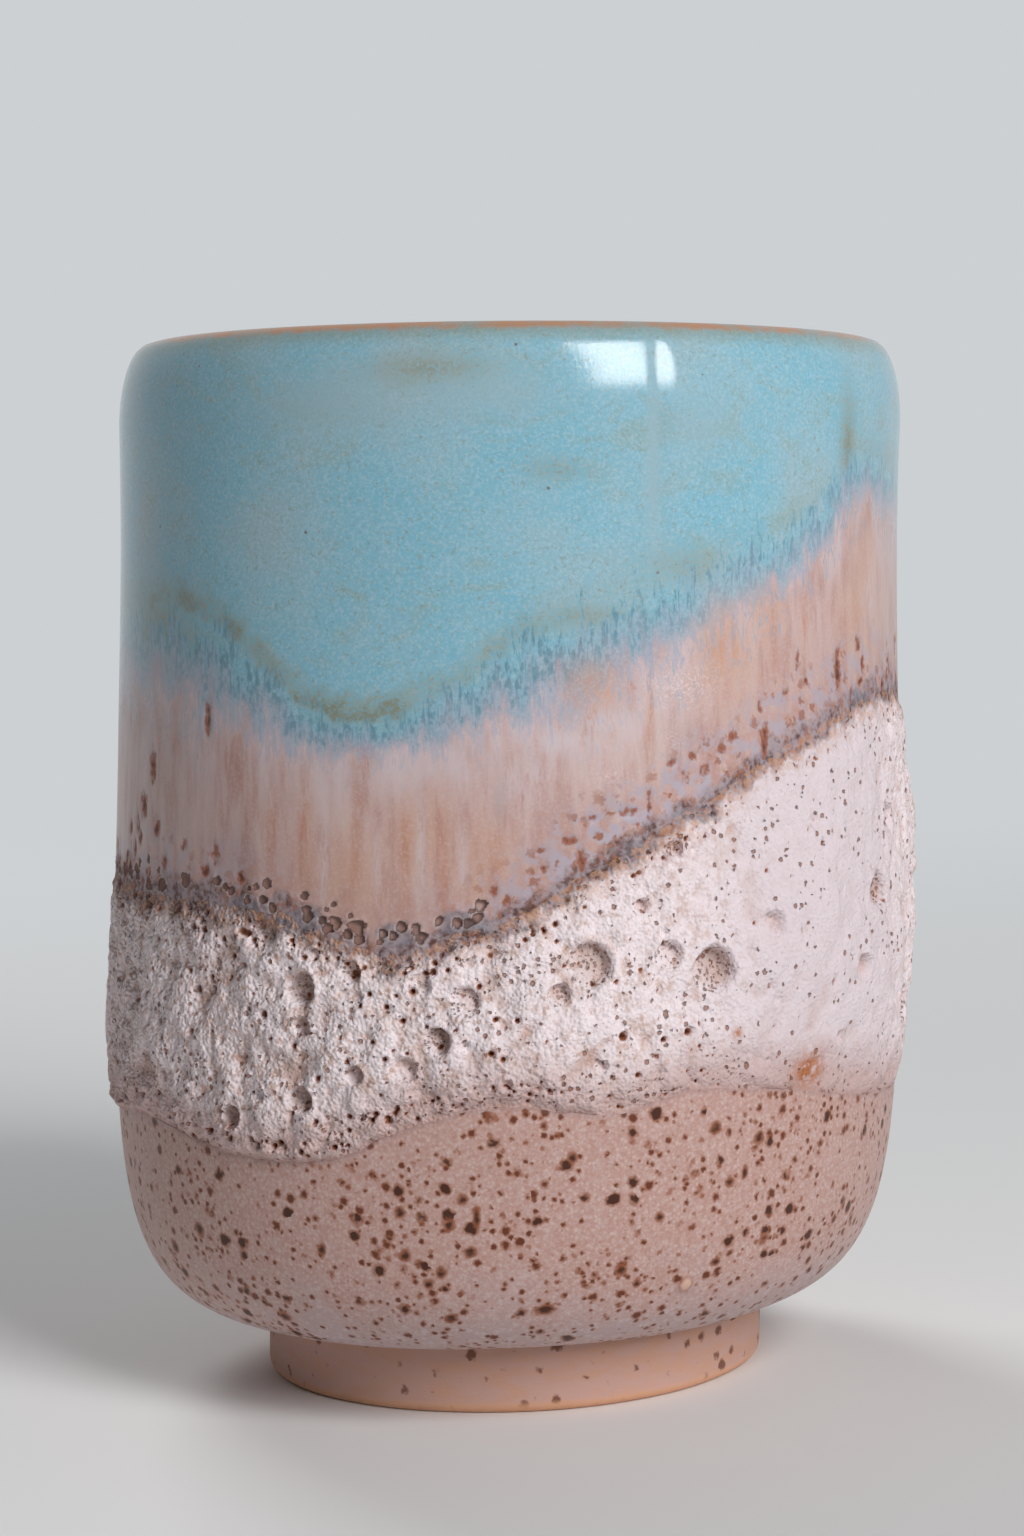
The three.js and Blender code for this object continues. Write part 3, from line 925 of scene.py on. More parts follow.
def streaked_paint(look):
    """Peach with upright streaks of tan, milk, gold and rust, and a few wrinkles."""
    streak, thread = look.streak, look.thread
    peach = Paint(look, look.sheet.ramp((0.34, TAN), (0.44, PEACH), (0.54, PEACH), (0.66, PEACH_PALE)))
    peach.lay(streak.ramp((0.38, TAN), (0.48, PEACH), (0.64, PEACH_PALE)), 0.55)
    peach.lay(TAN, (look.above_band + streak.swing(10)).step(13, 1) * 0.32)
    peach.lay(MILK, look.field("above_threads").step(-7, -0.5) * look.sheet.step(0.4, 0.6) * 0.6)
    peach.lay(ORANGE, look.field("orange") * streak.step(0.32, 0.56).between(0.35, 0.95))
    peach.lay(MILK, look.field("milk") * thread.step(0.3, 0.6))
    peach.lay(RUST_PALE, look.field("thread") * thread.step(0.36, 0.6).between(0.3, 0.8))
    crinkle = (look.noise(0.42, detail=1) - 0.5).calc("ABSOLUTE")
    peach.lay(STUCCO, crinkle.step(0.06, 0.01) * look.field("wrinkle") * 0.45)
    peach.lay(MILK, look.grain.step(0.45, 0.7) * 0.3)
    return peach


def lay_band_edge(look, glaze):
    """Stains, lilac clouds, rust dots, froth, and open bubbles with painted shade inside them, just above the
    crater band.
    """
    stain = look.low.step(5, 0.5) * look.noise(0.8, detail=3).step(0.34, 0.6)
    glaze.lay(TAN, stain * 0.75)
    zone = (look.above_band + look.drift.swing(8)).step(8, 3) * look.field("clouds")
    glaze.lay(CLOUD, look.noise(1.4, detail=4, roughness=0.6).step(0.45, 0.58) * zone * 0.85)
    glaze.lay(RUST, look.scatter(1.2, 1.05, 0.85, 0.16, wobble=0.5) * zone * 0.8)
    lay_froth(look, glaze, look.above_band)
    bubble = look.field("bubble")
    glaze.lay(SATIN_PALE, look.field("rim") * 0.35)
    # Painted shade in the open bubbles: dark brown at their walls, shaded tan-brown in the middle
    glaze.lay(BROWN, bubble.step(0.08, 0.35) * 0.8)
    glaze.lay(CAVITY_SHADE, bubble.step(0.5, 0.8) * 0.75)


def lay_drips(look, glaze, near):
    """Rusty drips, dark in the middle and frosted at their edges."""
    drip = near + near.step(0.02, 0.35) * look.noise(0.6, stretch=1.3, detail=4).swing(2.4)
    glaze.lay(FROST, drip.step(0.02, 0.5) * 0.45)
    glaze.lay(IRON, drip.step(0.3, 0.8) * 0.85)
    glaze.lay(BROWN, drip.step(0.85, 1.25) * 0.85)


def poured_glaze(name):
    """The turquoise glaze and the streaked one under it, which run into each other."""
    look = PouredLook(name)
    hang = look.hang
    near_drip = look.field("drip")
    glaze = streaked_paint(look)
    cover = hang.step(-0.25, 0.62) * look.field("orange").between(1, 0.4)
    glaze.lay(blue_paint(look).colour, cover)
    strand = look.thread.step(0.5, 0.64) * (hang.step(-0.6, -0.1) * hang.step(0.6, 0.2))
    glaze.lay(LAVENDER, strand * look.field("wet").between(0.75, 0.12))
    glaze.lay(POOL, look.field("smudge") * look.drift.between(0.3, 0.7))
    lay_band_edge(look, glaze)
    lay_drips(look, glaze, near_drip)
    break_lip(look, glaze)
    look.set("Base Color", glaze.colour)
    rough = look.low.step(4, 0.5).most(near_drip.step(0.1, 0.5))
    look.set("Roughness", cover.between(rough.between(0.32, 0.65), 0.13))
    froth_grain = look.low.step(3, 0) * look.noise(0.5, detail=2)
    look.bump(froth_grain + (look.thread + look.grain) * 0.1, 0.15, 0.6)
    return look.material


def liner_glaze():
    """The same turquoise inside the mug."""
    look = Look("liner_glaze", 0.13)
    grain = crystals(look)
    turquoise = turquoise_paint(look, grain)
    break_lip(look, turquoise)
    look.set("Base Color", turquoise.colour)
    look.bump(look.noise(3) + grain * 0.1, 0.05, 0.3)
    return look.material


def lay_hollow_shade(look, glaze, coarse):
    """Painted shade: tan in the valleys and between the crumbs, and darker in the crater floors."""
    hollow = look.field("hollow")
    recess_shade = look.field("lumps").step(-0.6, -1.15) * 0.75
    crumb_shade = look.noise(0.8, detail=4, roughness=0.65).step(0.48, 0.34)
    # Tan painted shade in the valleys of the lumps and on the crater floors
    glaze.lay(RECESS_SHADE, recess_shade.most(hollow.step(0.25, 1) * 0.5))
    # Darker painted shade where the craters are deepest
    glaze.lay(STUCCO_SHADE, hollow.step(0.8, 1.8) * 0.5)
    # Tan painted shade between the crumbs of the coarse stucco
    glaze.lay(RECESS_SHADE, crumb_shade * coarse.step(0.55, 1.2) * 0.65)


def lay_pits(look, glaze, coarse):
    """Rusty pores and pinholes. Returns where the pores are."""
    crowd = look.noise(3.2, detail=2).step(0.38, 0.62) * (coarse * 0.8)
    holes = look.scatter(0.62, 0.44, crowd, 0.05)
    pores = look.scatter(0.34, 0.31, 0.95, 0.04) * look.field("porous").step(0.2, 0.6)
    pits = holes.most(pores * 0.75)
    pinhole = look.field("pinhole")
    glaze.lay(RUST, pits * 0.75)
    glaze.lay(RUST, pinhole.step(0.3, 0.8))
    glaze.lay(BROWN, pinhole.step(0.75, 1))
    return pits


def crater_glaze():
    """Matte stucco, peach near its lower edge and frothy and rusty along its upper one, with painted shade in
    its hollows and along its lower edge.
    """
    look = Look("crater_glaze", 0.9, 0.25)
    coarse = look.field("coarse")
    from_low = look.field("from_low")
    from_top = look.field("from_top")
    tint = look.noise(1.6, detail=4, roughness=0.65)
    glaze = Paint(look, tint.ramp((0.36, STUCCO_WARM), (0.5, STUCCO)))
    # Smooth right side: its own lilac tint plus painted shade that tones down the light falling there
    glaze.lay(STUCCO_SMOOTH_SHADE, coarse.step(1, 0.55) * 0.8)
    lay_hollow_shade(look, glaze, coarse)
    # Peach towards the lower edge: partly the glaze's own colour, partly painted shade where the swelling
    # turns down
    glaze.lay(PEACH, (from_low + look.noise(2, detail=3).swing(4)).step(7, 0.5) * 0.75)
    glaze.lay(TAN, look.field("tan") * look.noise(0.7, detail=3).step(0.36, 0.6) * 0.6)
    pits = lay_pits(look, glaze, coarse)
    lay_froth(look, glaze, from_top)
    rusty = look.noise(0.8, detail=4, roughness=0.6).step(0.44, 0.58) * from_top.step(3.6, 0.6)
    glaze.lay(ORANGE, rusty * 0.6)
    # A thin tan line of painted crevice shade along the band's lower edge
    glaze.lay(TAN, from_low.step(0.6, 0.1) * 0.4)
    glaze.lay(RUST_PALE, look.field("rust") * look.noise(0.8).step(0.3, 0.55))
    look.set("Base Color", glaze.colour)
    grit = look.noise(0.5, detail=3) * 0.6 + look.grains(0.36) * 0.6
    look.bump(grit * coarse + pits * -1.4, 0.3)
    return look.material


# Iron specks by size: spacing, reach, softness and colour of the core
SPECK_SIZES = [[0.8, 0.6, 0.15, RUST_DARK], [1.3, 0.95, 0.22, RUST_DARK], [2.1, 1.35, 0.28, BROWN]]


def speckled_glaze():
    """Milky satin glaze with iron specks that bleed a little rust."""
    look = Look("speckled_glaze", 0.4, 0.3)
    mottle = look.noise(0.36, detail=3, roughness=0.7)
    cloud = look.noise(7, detail=2)
    glaze = Paint(look, SATIN)
    glaze.lay(SATIN_MILK, mottle.step(0.36, 0.7) * 0.6)
    glaze.lay(SATIN_PALE, look.scatter(0.36, 0.34, 0.9, 0.14) * 0.55)
    # Paler grey glaze with misty dots towards the foot: partly its own milky tone, partly painted light
    # bounced up from the floor
    grey = (look.field("above_foot") + cloud.swing(16)).step(16, 3)
    glaze.lay(SATIN_GREY, grey * 0.75)
    glaze.lay(SATIN_MIST, look.scatter(0.6, 0.6, 0.85, 0.2, wobble=0.5) * grey.between(0.25, 0.7))
    crowd = cloud.step(0.36, 0.6).between(0.35, 1)
    for spacing, reach, soft, core in SPECK_SIZES:
        spot = look.scatter(spacing, reach, crowd, soft, wobble=0.25)
        glaze.lay(RUST, spot.step(0.02, 0.6) * 0.7)
        glaze.lay(core, spot.step(0.58, 1))
    speck = look.field("speck") + look.noise(0.6, detail=3).swing(0.7)
    glaze.lay(RUST, speck.step(0.16, 0.5) * 0.85)
    glaze.lay(BROWN, speck.step(0.42, 0.9))
    # Painted shadow under the crater band's lower edge, over a thin mauve line of the glaze
    glaze.lay(MAUVE, look.field("below_band").step(0.6, 0) * 0.25)
    pearl = look.field("pearl")
    glaze.lay(RUST, pearl.step(0.15, 0.35) * 0.4)
    glaze.lay(PEARL, pearl.step(0.4, 0.75) * 0.9)
    look.set("Base Color", glaze.colour)
    look.set("Roughness", mottle.between(0.32, 0.52))
    look.bump(look.noise(0.5, detail=3), 0.05, 0.35)
    return look.material


def bare_clay(name):
    """Unglazed stoneware, turned, with a few specks and a toasted edge."""
    look = Look(name, 0.8)
    grain = look.noise(0.4, detail=3, roughness=0.7)
    clay = Paint(look, CLAY)
    clay.lay(CLAY_WARM, look.noise(3.5, stretch=0.35, detail=4).step(0.42, 0.62) * 0.75)
    clay.lay(PEACH, grain.step(0.45, 0.7) * 0.3)
    clay.lay(RUST_DARK, look.scatter(1.6, 1.15, 0.6, 0.16, wobble=0.3) * 0.85)
    clay.lay(CLAY_TOAST, look.field("toast").step(0.35, 0.9) * 0.9)
    look.set("Base Color", clay.colour)
    look.bump(look.noise(0.5, stretch=0.25, detail=3) + grain * 0.5, 0.08, 0.5)
    return look.material


# Blots of colour on the poured glazes: angle, height, half width, half length, strength
POURED_BLOTS = {
    "olive": [
        [24, 79.4, 5, 1.8, 0.5], [54, 90, 1.5, 5, 0.9], [5.4, 88, 3, 1.2, 0.45], [9.5, 74.9, 5, 1.3, 0.6],
        [-11, 96.8, 6, 1.3, 0.75], [-60, 72, 7, 5.5, 1], [105, 90, 3, 6, 0.6], [165, 80, 6, 3, 0.5],
        [-130, 78, 5, 3, 0.6],
    ],
    "orange": [
        [29.7, 72.6, 3.2, 4.5, 1], [10.2, 69.3, 2.6, 2.2, 0.9], [61, 79.5, 2, 4.5, 0.9],
        [36, 75, 2.5, 3, 0.7], [-22, 52, 5, 5, 0.5], [-12, 56, 3.5, 4, 0.5], [-4, 53, 3, 5, 0.5],
        [58, 74, 4, 4, 0.6], [95, 70, 3, 5, 0.8], [150, 62, 4, 5, 0.7], [-110, 58, 4, 4, 0.6],
    ],
    "milk": [
        [2, 60.5, 3, 2.5, 0.6], [7, 64, 4, 1.4, 0.9], [12, 65.6, 3.5, 1.6, 0.8], [18.5, 69, 2.5, 2.4, 0.7],
        [-17, 61.5, 4, 1.6, 0.6], [-25.5, 54, 0.5, 5, 0.7], [-12, 55, 0.45, 5, 0.7],
        [-6.5, 54, 0.5, 4, 0.6], [-18, 53, 0.5, 4, 0.5], [62, 77, 1.6, 4, 0.7], [110, 70, 4, 3, 0.7],
        [-100, 62, 5, 3, 0.7], [160, 64, 4, 3, 0.6],
    ],
    "grey": [
        # The first grey blot is painted shade down the crease over some grey of the glaze; the others are the
        # glaze's own grey patches
        [18.8, 89.5, 0.9, 9, 0.85], [-26, 94, 8, 2.6, 0.7], [-3, 94.5, 8, 2.2, 0.6], [26, 92, 5, 3, 0.5],
        [110, 94, 6, 3, 0.6], [-120, 92, 6, 3, 0.6], [170, 90, 6, 4, 0.5],
    ],
    "smudge": [
        [-1.6, 58.6, 0.6, 2, 0.7], [-40, 53, 2.2, 3.5, 0.7], [6, 53.4, 1.6, 1.6, 0.5],
        [13, 58, 1.5, 1.2, 0.5], [24, 64, 1.5, 1.4, 0.5], [105, 66, 2, 4, 0.7], [-100, 55, 2.5, 4, 0.7],
        [160, 57, 2, 3, 0.6],
    ],
    "wrinkle": [
        [23, 68.6, 3.6, 2, 1], [22, 63.6, 1.2, 0.9, 0.8], [13, 60.6, 2, 1, 0.6], [128, 66, 3, 2, 0.9],
    ],
    "thread": [
        [18.5, 66.5, 0.5, 4.5, 0.9], [-34, 57, 0.7, 6, 0.6], [-28.5, 56, 0.7, 6, 0.8],
        [-21, 56, 0.6, 5, 0.6], [-14, 54, 0.6, 5, 0.7], [-9, 52, 0.6, 4, 0.7], [-2, 54, 0.5, 4, 0.5],
        [44, 74, 0.6, 4, 0.6], [38, 73, 0.5, 4, 0.6], [100, 68, 0.6, 5, 0.6], [-120, 56, 0.6, 5, 0.6],
        [150, 60, 0.6, 4, 0.6],
    ],
}

# Other blots, with the same numbers: rusty drips on the front
DRIPS = [
    [21.5, 61.8, 0.5, 0.4, 1], [24.8, 62.3, 0.45, 0.5, 1.1], [29, 62.8, 0.5, 0.8, 1.1],
    [31.1, 64, 0.5, 0.8, 1.2], [36.3, 63.4, 0.5, 1.6, 1.2], [26.5, 60.9, 0.5, 0.7, 0.9],
    [23.3, 60.3, 0.3, 0.8, 0.8], [10.4, 57, 0.6, 0.3, 1], [15.5, 57.5, 0.9, 0.4, 0.9],
    [18.3, 58.1, 0.25, 1.4, 0.9], [7.5, 55.1, 0.7, 0.4, 1.1], [3.5, 54.3, 0.6, 0.3, 0.8],
    [4.2, 52.8, 0.35, 0.5, 0.9], [9, 53.4, 0.5, 1, 1], [44.5, 68.6, 0.4, 0.4, 1.2],
    [40.2, 67.5, 0.4, 0.4, 1.2], [51.9, 69.5, 0.5, 1.9, 1.3], [42.7, 70.4, 0.4, 1, 0.9],
    [35.6, 66.3, 0.4, 0.7, 1], [-2.3, 50.8, 0.4, 0.5, 0.9], [-0.6, 49.9, 0.4, 0.5, 0.9],
    [-46, 66, 0.45, 1.6, 1.3], [-39.1, 51.5, 0.7, 0.7, 1.1], [-60, 61.2, 0.7, 1.6, 1.1],
    [-63, 57.4, 0.9, 1.2, 1.1], [-58.5, 55.5, 0.7, 1, 1.1], [-64, 54.4, 0.5, 0.7, 1],
    [-56, 52.4, 0.6, 1, 1], [-46, 52, 0.7, 0.7, 1.1], [-44, 53.5, 0.6, 0.9, 1],
]

# Lilac-grey pools of glaze on the line above the crater band
POOLS = [
    [-29.5, 47.9, 2.6, 1.3, 1], [-38, 49.2, 2, 1.2, 0.8], [-15, 46.9, 2, 1.2, 1], [-6.5, 48.1, 2.6, 1.2, 1],
    [16.7, 54.2, 2.8, 0.9, 0.6], [25.4, 56.9, 2.8, 0.8, 0.6], [57, 66.6, 3, 0.8, 0.8], [95, 65, 4, 1.2, 1],
    [130, 58.6, 3, 1.2, 1], [175, 52.4, 4, 1.2, 1], [-140, 51.3, 3, 1.2, 1], [-95, 50.6, 4, 1.2, 1],
]

# Iron specks that stand out on the front
BIG_SPECKS = [
    [5.2, 12.7, 1.1, 0.5, 1.2], [28.6, 28.3, 0.65, 0.6, 1], [35.9, 26.8, 0.6, 0.7, 1],
    [31.4, 23.1, 0.5, 0.5, 1], [33.8, 23.8, 0.4, 0.7, 1], [-14.9, 22, 0.55, 0.55, 1],
    [-8.1, 20.9, 0.6, 0.6, 1], [-14.5, 18.1, 0.55, 0.6, 1], [-9.5, 16.5, 0.6, 0.6, 1],
    [-11.4, 15.4, 0.55, 0.5, 1], [-8.5, 12.1, 0.8, 0.5, 1], [-6.3, 23.2, 0.55, 0.5, 1],
    [-4.5, 21.6, 0.4, 1.1, 0.9], [-5.4, 18.4, 0.8, 0.5, 1], [-26.9, 18.3, 0.5, 0.6, 1],
    [15.7, 16, 0.7, 0.55, 1], [20.7, 20.6, 0.55, 0.5, 1], [8.2, 26.7, 0.5, 0.55, 1],
    [30.6, 15.7, 0.55, 0.5, 1], [38.8, 17.1, 0.7, 0.6, 0.9], [-49.8, 18.6, 0.7, 0.7, 1],
    [-58.2, 16.1, 0.7, 0.7, 1], [-36.6, 11.2, 0.8, 0.6, 1], [18.4, 14.6, 0.5, 0.45, 1],
]

# Pale beads of glaze among the specks
PEARLS = [
    [26.2, 14, 0.75, 0.75, 1], [118, 20, 0.7, 0.7, 1], [-104, 16, 0.6, 0.6, 1],
]
PEARL_HEIGHT = 0.35

# Tan patches and rust spots on the crater band
TAN_PATCHES = [
    [20.2, 54, 3.4, 2, 1], [44.2, 32.4, 3.5, 2.5, 0.7], [-44, 41, 6, 9, 0.5], [-70, 36, 8, 9, 0.6],
    [120, 45, 8, 8, 0.5], [-140, 38, 9, 8, 0.5],
]
RUST_SPOTS = [
    [44.2, 32.4, 1.9, 1.4, 1.4], [30.5, 37, 0.5, 0.5, 1], [132, 36, 1.2, 0.9, 1], [-95, 40, 0.9, 0.9, 1],
]

# Rusty drips on the sides and back: ranges of their angle, their height above the crater band, and their half
# width, half length and strength
DRIP_SEED = 5
BACK_DRIPS = 70
BACK_DRIP_ANGLES = [54, 310]
BACK_DRIP_RISES = [0.4, 5.5]
BACK_DRIP_SIZES = [[0.3, 0.55], [0.35, 1.2], [0.7, 1.2]]
DRIP_DEPTH = 0.14


def back_drips():
    random = np.random.default_rng(DRIP_SEED)
    for _ in range(BACK_DRIPS):
        angle = random.uniform(*BACK_DRIP_ANGLES)
        along = off_top(angle, random.uniform(*BACK_DRIP_RISES))
        height = outer.read(outer.points[:, 1], along)
        yield angle, height, *(random.uniform(*sizes) for sizes in BACK_DRIP_SIZES)


drips = [*DRIPS, *back_drips()]

# Open froth bubbles: ranges of their diameter and of how porous they are, and the coarseness that they need
FROTH_SEED = 23
FROTH_BUBBLES = 300
FROTH_COARSE = 1.02
FROTH_START = 0.6
FROTH_REACH = 2.4
FROTH_SIZES = [0.4, 1]
FROTH_PORES = [0.4, 1.2]
FROTH_DEPTH = 0.14
FROTH_WOBBLE = 0.5
CAVITY_DEPTH = 0.15
CAVITY_PORES = 0.75


def froth(section):
    """Open bubbles in the streaked glaze, crowded just above the crater band."""
    pits = Pits(section, np.zeros(section.shape), 0)
    random = np.random.default_rng(FROTH_SEED)
    for angle, height, diameter in FROTH_CAVITIES:
        along = outer.along_at(height)
        pits.add_crater(angle, along, diameter, CAVITY_DEPTH, CAVITY_PORES, FROTH_WOBBLE)
    for _ in range(FROTH_BUBBLES):
        angle = random.uniform(-180, 180)
        along = off_top(angle, FROTH_START + FROTH_REACH * random.random() ** 2)
        coarse = line_at(coarseness, angle)
        diameter = random.uniform(*FROTH_SIZES) * coarse
        pores = random.uniform(*FROTH_PORES)
        if coarse > FROTH_COARSE:
            pits.add_crater(angle, along, diameter, FROTH_DEPTH, pores, FROTH_WOBBLE)
    return pits


def poured_relief(section):
    return wall_relief(section) - DRIP_DEPTH * blots(drips, section)


def by_column(line, section):
    """A line given by column, the same in all rows of a section."""
    return np.broadcast_to(line[:, None], section.shape)


def poured_fields(section):
    rise = section - thread_line[:, None]
    waves = {name: by_column(closed_wave(wave, columns), section) for name, wave in POURED_WAVES.items()}
    return {
        "above_threads": rise,
        "above_solid": section - solid_line[:, None],
        "hang": rise / (solid_line - thread_line)[:, None],
        "above_band": section - band_top_line[:, None],
        "below_crown": HEIGHT - outer.at(section, coat_depth)[1],
        "coarse": by_column(coarseness, section),
        "pool": blots(POOLS, section),
        "drip": blots(drips, section),
        **waves,
        **{name: blots(places, section) for name, places in POURED_BLOTS.items()},
    }


# Rows of the coats, and how far those of the middle two crowd towards their edges
WALL_ROWS = 46
LIP_ROWS = 16
STREAKED_ROWS = 90
STREAKED_CROWD = 0.4
BAND_ROWS = 96
BAND_CROWD = 0.3
HEEL_ROWS = 64


def make_turquoise():
    shoulder = np.full(columns.shape, outer.along_at(shoulder_height))
    crown = np.full(columns.shape, outer.length)
    wall = rows_between(turquoise_line, shoulder, WALL_ROWS)[:, :-1]
    along = np.concatenate([wall, rows_between(shoulder, crown, LIP_ROWS)], axis=1)
    section = coat_section(along)
    relief = poured_relief(section)
    material = poured_glaze("turquoise_glaze")
    make_coat("turquoise_coat", "turquoise_glaze", along, relief, poured_fields(section), material)


def make_streaked():
    along = rows_between(band_top_line, turquoise_line, STREAKED_ROWS, STREAKED_CROWD)
    section = coat_section(along)
    pits = froth(section)
    relief = poured_relief(section) + pits.relief
    fields = {**poured_fields(section), "bubble": pits.porous, "rim": pits.rim}
    make_coat("streaked_coat", "streaked_glaze", along, relief, fields, poured_glaze("streaked_glaze"))


def make_band():
    along = rows_between(band_low_line, band_top_line, BAND_ROWS, BAND_CROWD)
    section = coat_section(along)
    pits = Pits(section, stucco(section), -STUCCO_SINK)
    pit_band(pits)
    fields = {
        "lumps": pits.lumps,
        "hollow": pits.hollow,
        "porous": pits.porous,
        "pinhole": pits.pinhole,
        "from_low": section - band_low_line[:, None],
        "from_top": band_top_line[:, None] - section,
        "coarse": by_column(coarseness, section),
        "pool": blots(POOLS, section),
        "tan": blots(TAN_PATCHES, section),
        "rust": blots(RUST_SPOTS, section),
    }
    make_coat("crater_band", "crater_glaze", along, band_relief(section, pits.relief), fields, crater_glaze())


def make_speckled():
    along = rows_between(np.zeros(columns.shape), band_low_line, HEEL_ROWS)
    section = coat_section(along)
    pearls = blots(PEARLS, section)
    relief = wall_relief(section) + PEARL_HEIGHT * pearls
    fields = {
        "below_band": band_low_line[:, None] - section,
        "above_foot": section,
        "speck": blots(BIG_SPECKS, section),
        "pearl": pearls,
    }
    make_coat("speckled_coat", "speckled_glaze", along, relief, fields, speckled_glaze())


TURNED_SIDES = 300


def turned_solid(radius, height):
    """Points and faces of a body turned from an outline that runs from the axis to the axis."""
    rings = ring_points(radius[1:-1], full_turn(TURNED_SIDES), height[1:-1])
    poles = np.array([[0, 0, height[0]], [0, 0, height[-1]]])
    rows = rings.shape[1]
    quads = np.array(ring_faces(TURNED_SIDES, rows)).reshape(TURNED_SIDES, rows, 4)[:, :-1]
    first, last = TURNED_SIDES * rows, TURNED_SIDES * rows + 1
    here = np.arange(TURNED_SIDES) * rows
    beyond = np.roll(here, -1)
    fans = [(first, int(b), int(a)) for a, b in zip(here, beyond)]
    fans += [(int(a), int(b), last) for a, b in zip(here + rows - 1, beyond + rows - 1)]
    return np.concatenate([rings.reshape(-1, 3), poles]), quads.reshape(-1, 4).tolist() + fans


LINER_ROWS = 110
LINER_CROWD = 1.6
CLAY_ROWS = 60
TRIM_RING = 2.6
TRIM_DEPTH = 0.12


def make_liner():
    """The coat inside, with its rows crowded towards the crown."""
    along = np.linspace(0, 1, LINER_ROWS) ** LINER_CROWD * inner.length
    back = inner.at(along[::-1], BOND_GAP)
    face = inner.at(along, coat_depth - CROWN_SINK)
    points, faces = turned_solid(*(np.concatenate(pair) for pair in zip(back, face)))
    fields = {"below_crown": HEIGHT - points[:, 2]}
    make_piece("liner_coat", "liner_glaze", points, faces, fields, liner_glaze())


def make_clay():
    """The thrown clay: bare only under the floor, where trimming left shallow rings."""
    under = np.linspace(0, glaze_start, CLAY_ROWS)[:-1]
    trimmed = seat_height + TRIM_DEPTH * (1 - np.cos(2 * np.pi * under / TRIM_RING)) / 2
    outside = outer.at(np.linspace(0, outer.length, CLAY_ROWS), 0)
    inside = inner.at(np.linspace(0, inner.length, CLAY_ROWS)[1:], 0)
    radius = np.concatenate([under, outside[0], inside[0]])
    height = np.concatenate([trimmed, outside[1], inside[1]])
    points, faces = turned_solid(radius, height)
    make_piece("clay_body", "clay_wall", points, faces, {}, bare_clay("stoneware_clay"))


FOOT_SIDES = 480
FOOT_FLAT_ROWS = 8
FOOT_EDGE_ROWS = 12
FOOT_OUTSIDE_ROWS = 24
FOOT_INSIDE_ROWS = 12
FOOT_WAVER = 0.1
FOOT_WAVER_LENGTH = 14
TOAST_HEIGHT = 2.2


def make_foot():
    """Foot ring with rounded lower edges, a little out of round."""
    inside = FOOT_RADIUS - FOOT_WIDTH
    top = seat_height - BOND_GAP
    near, far = inside + FOOT_EDGE, FOOT_RADIUS - FOOT_EDGE
    edge = (FOOT_EDGE, FOOT_EDGE)
    section = np.concatenate([
        np.linspace((near, 0), (far, 0), FOOT_FLAT_ROWS)[:-1],
        ellipse_arc((far, FOOT_EDGE), edge, -90, 0, FOOT_EDGE_ROWS)[:-1],
        np.linspace((FOOT_RADIUS, FOOT_EDGE), (FOOT_RADIUS, top), FOOT_OUTSIDE_ROWS),
        np.linspace((inside, top), (inside, FOOT_EDGE), FOOT_INSIDE_ROWS),
        ellipse_arc((near, FOOT_EDGE), edge, 180, 270, FOOT_EDGE_ROWS)[1:-1],
    ])
    angles = full_turn(FOOT_SIDES)
    radius = section[:, 0] + ragged(angles, FOOT_WAVER_LENGTH, FOOT_WAVER)[:, None] - FOOT_WAVER / 2
    points = ring_points(radius, angles, section[:, 1])
    points[..., 0] += FOOT_OFFSET
    fields = {"toast": 1 - smooth(points[..., 2], 0, TOAST_HEIGHT)}
    faces = ring_faces(*radius.shape)
    make_piece("foot", "foot_ring", points, faces, fields, bare_clay("foot_clay"))


make_clay()
make_foot()
make_liner()
make_turquoise()
make_streaked()
make_band()
make_speckled()

# Camera, where the photograph was taken from: millimetres and radians
CAMERA_BACK = 329.25
CAMERA_HEIGHT = 80.48
CAMERA_YAW = 0.0081
CAMERA_PITCH = 0.0646
CAMERA_ROLL = -0.034
CAMERA_LENS = 77.16
CAMERA_SENSOR = 36
CAMERA_CLIP = 10


def make_camera():
    camera = bpy.data.objects.new("camera", bpy.data.cameras.new("camera"))
    camera.data.lens = CAMERA_LENS
    camera.data.sensor_width = CAMERA_SENSOR
    camera.data.clip_start = CAMERA_CLIP * MM
    turn = Matrix.Rotation(-CAMERA_YAW, 3, "Z") @ Matrix.Rotation(math.pi / 2 - CAMERA_PITCH, 3, "X")
    camera.matrix_world = (turn @ Matrix.Rotation(CAMERA_ROLL, 3, "Z")).to_4x4()
    place = lean(np.array([[0.0, -CAMERA_BACK, 0.0]]))[0]
    camera.location = Vector((place[0], place[1], CAMERA_HEIGHT)) * MM
    bpy.context.scene.collection.objects.link(camera)
    bpy.context.scene.camera = camera


# Plain soft studio light and a pale floor, in metres, degrees and watts
BACKDROP = tone("ccd0d3")
FLOOR = tone("f0f0f0")
FILL_STRENGTH = 0.11
STAGE_RADIUS = 4
STAGE_SIDES = 96
STAGE_CLEAR = 0.05
STAGE_FADE = 0.7
KEY_LAMP = {"azimuth": 34, "elevation": 30, "distance": 1, "size": (0.36, 0.56), "power": 8}
BACK_LAMP = {"azimuth": 205, "elevation": 35, "distance": 1.3, "size": (0.5, 0.5), "power": 7, "glare": False}
SEEING_RAYS = ["Is Camera Ray", "Is Glossy Ray", "Is Transmission Ray"]


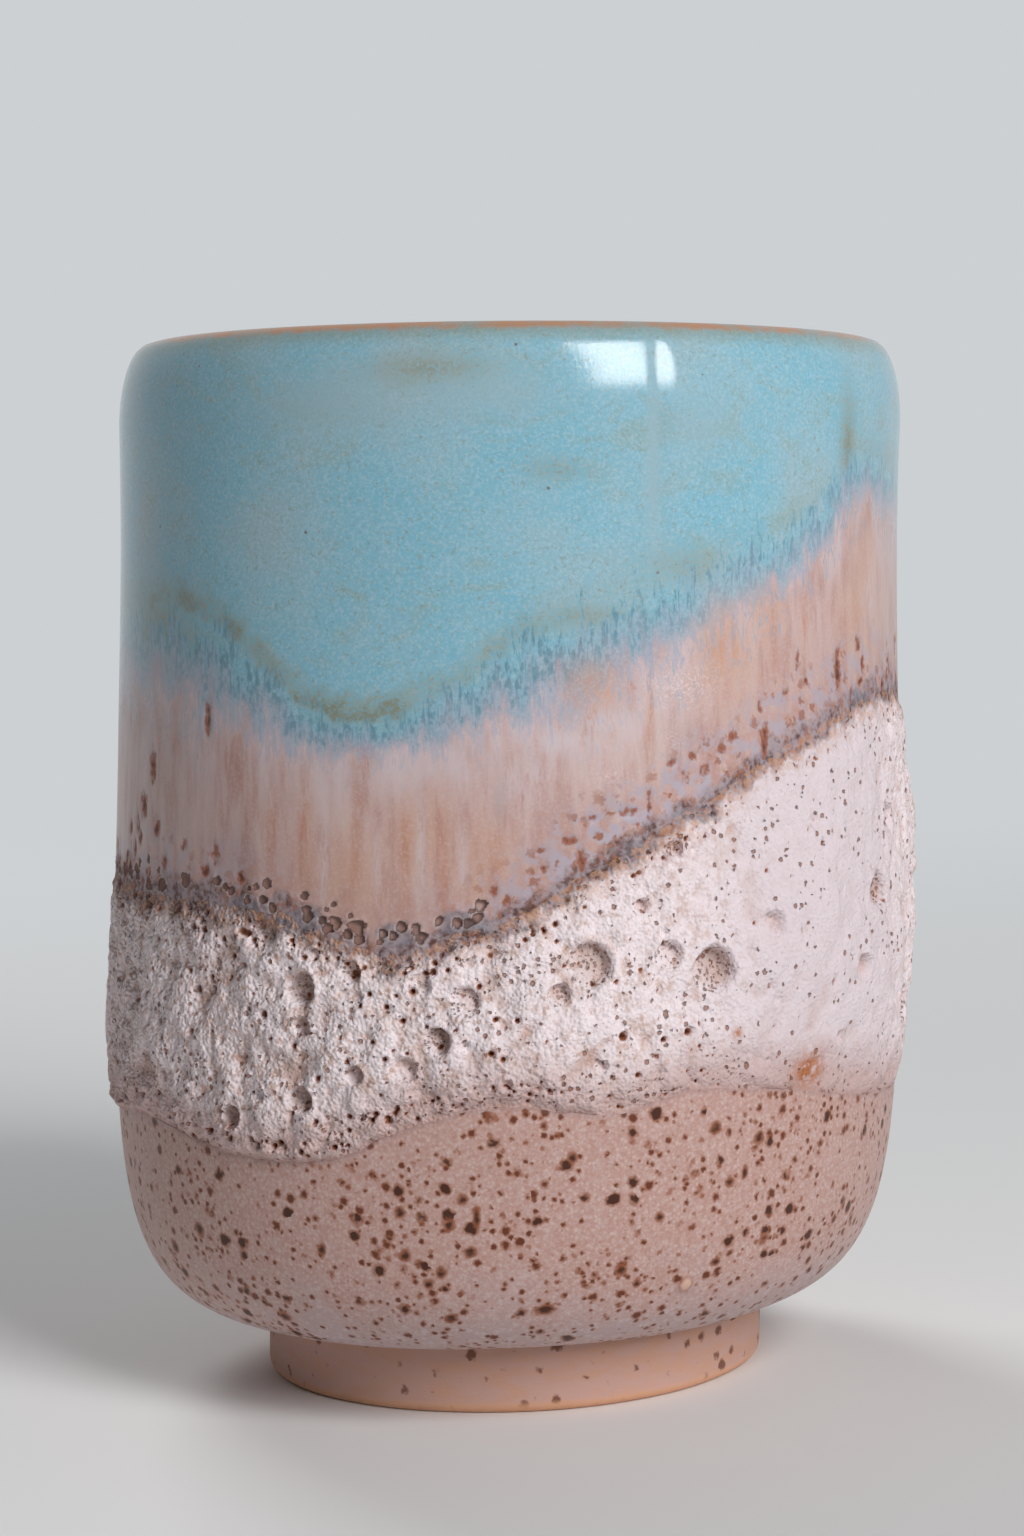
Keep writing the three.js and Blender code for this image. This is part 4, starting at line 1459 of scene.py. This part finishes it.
def make_lamp(name, azimuth, elevation, distance, size, power, glare=True):
    """A soft lamp, given by its width and height, that looks at the middle of the mug."""
    lamp = bpy.data.objects.new(name, bpy.data.lights.new(name, "AREA"))
    lamp.data.shape = "RECTANGLE"
    lamp.data.size, lamp.data.size_y = size
    lamp.data.energy = power
    turn, rise = math.radians(azimuth), math.radians(elevation)
    aim = Vector((math.sin(turn) * math.cos(rise), -math.cos(turn) * math.cos(rise), math.sin(rise)))
    lamp.location = aim * distance + Vector((0, 0, HEIGHT / 2 * MM))
    lamp.rotation_euler = aim.to_track_quat("Z", "Y").to_euler()
    lamp.visible_camera = False
    lamp.visible_glossy = glare
    bpy.context.scene.collection.objects.link(lamp)


def sees_backdrop(nodes):
    """1 for the rays that see the backdrop itself: from the camera, off gloss or through glass."""
    path = nodes.node("ShaderNodeLightPath")
    camera, gloss, glass = (Value(nodes, path.outputs[name]) for name in SEEING_RAYS)
    return camera.most(gloss).most(glass)


def make_world():
    world = bpy.data.worlds.new("studio")
    bpy.context.scene.world = world
    world.use_nodes = True
    nodes = Nodes(world.node_tree)
    backdrop = nodes.tree.nodes["Background"]
    nodes.feed(backdrop.inputs["Color"], BACKDROP)
    nodes.feed(backdrop.inputs["Strength"], sees_backdrop(nodes).between(FILL_STRENGTH, 1))


def make_floor():
    """A wide pale disc that fades into the backdrop away from the mug."""
    look = Look("floor", 0.7)
    look.set("Base Color", FLOOR)
    distance = look.value("ShaderNodeVectorMath", {0: look.place}, "Value", operation="LENGTH")
    share = distance.step(STAGE_CLEAR / MM, STAGE_FADE / MM) * sees_backdrop(look)
    lit = Value(look, look.shader.outputs[0])
    glow = look.value("ShaderNodeEmission", {"Color": BACKDROP})
    blend = look.value("ShaderNodeMixShader", {0: share, 1: lit, 2: glow})
    look.feed(look.tree.nodes["Material Output"].inputs["Surface"], blend)
    rim = ring_points(np.array([STAGE_RADIUS]), full_turn(STAGE_SIDES), 0)[:, 0]
    mesh = bpy.data.meshes.new("floor")
    mesh.from_pydata(rim.tolist(), [], [list(range(len(rim)))])
    mesh.materials.append(look.material)
    floor = bpy.data.objects.new("floor", mesh)
    bpy.context.scene.collection.objects.link(floor)


make_camera()
make_world()
make_floor()
make_lamp("key", **KEY_LAMP)
make_lamp("back_fill", **BACK_LAMP)
bpy.context.scene.view_settings.view_transform = "Standard"
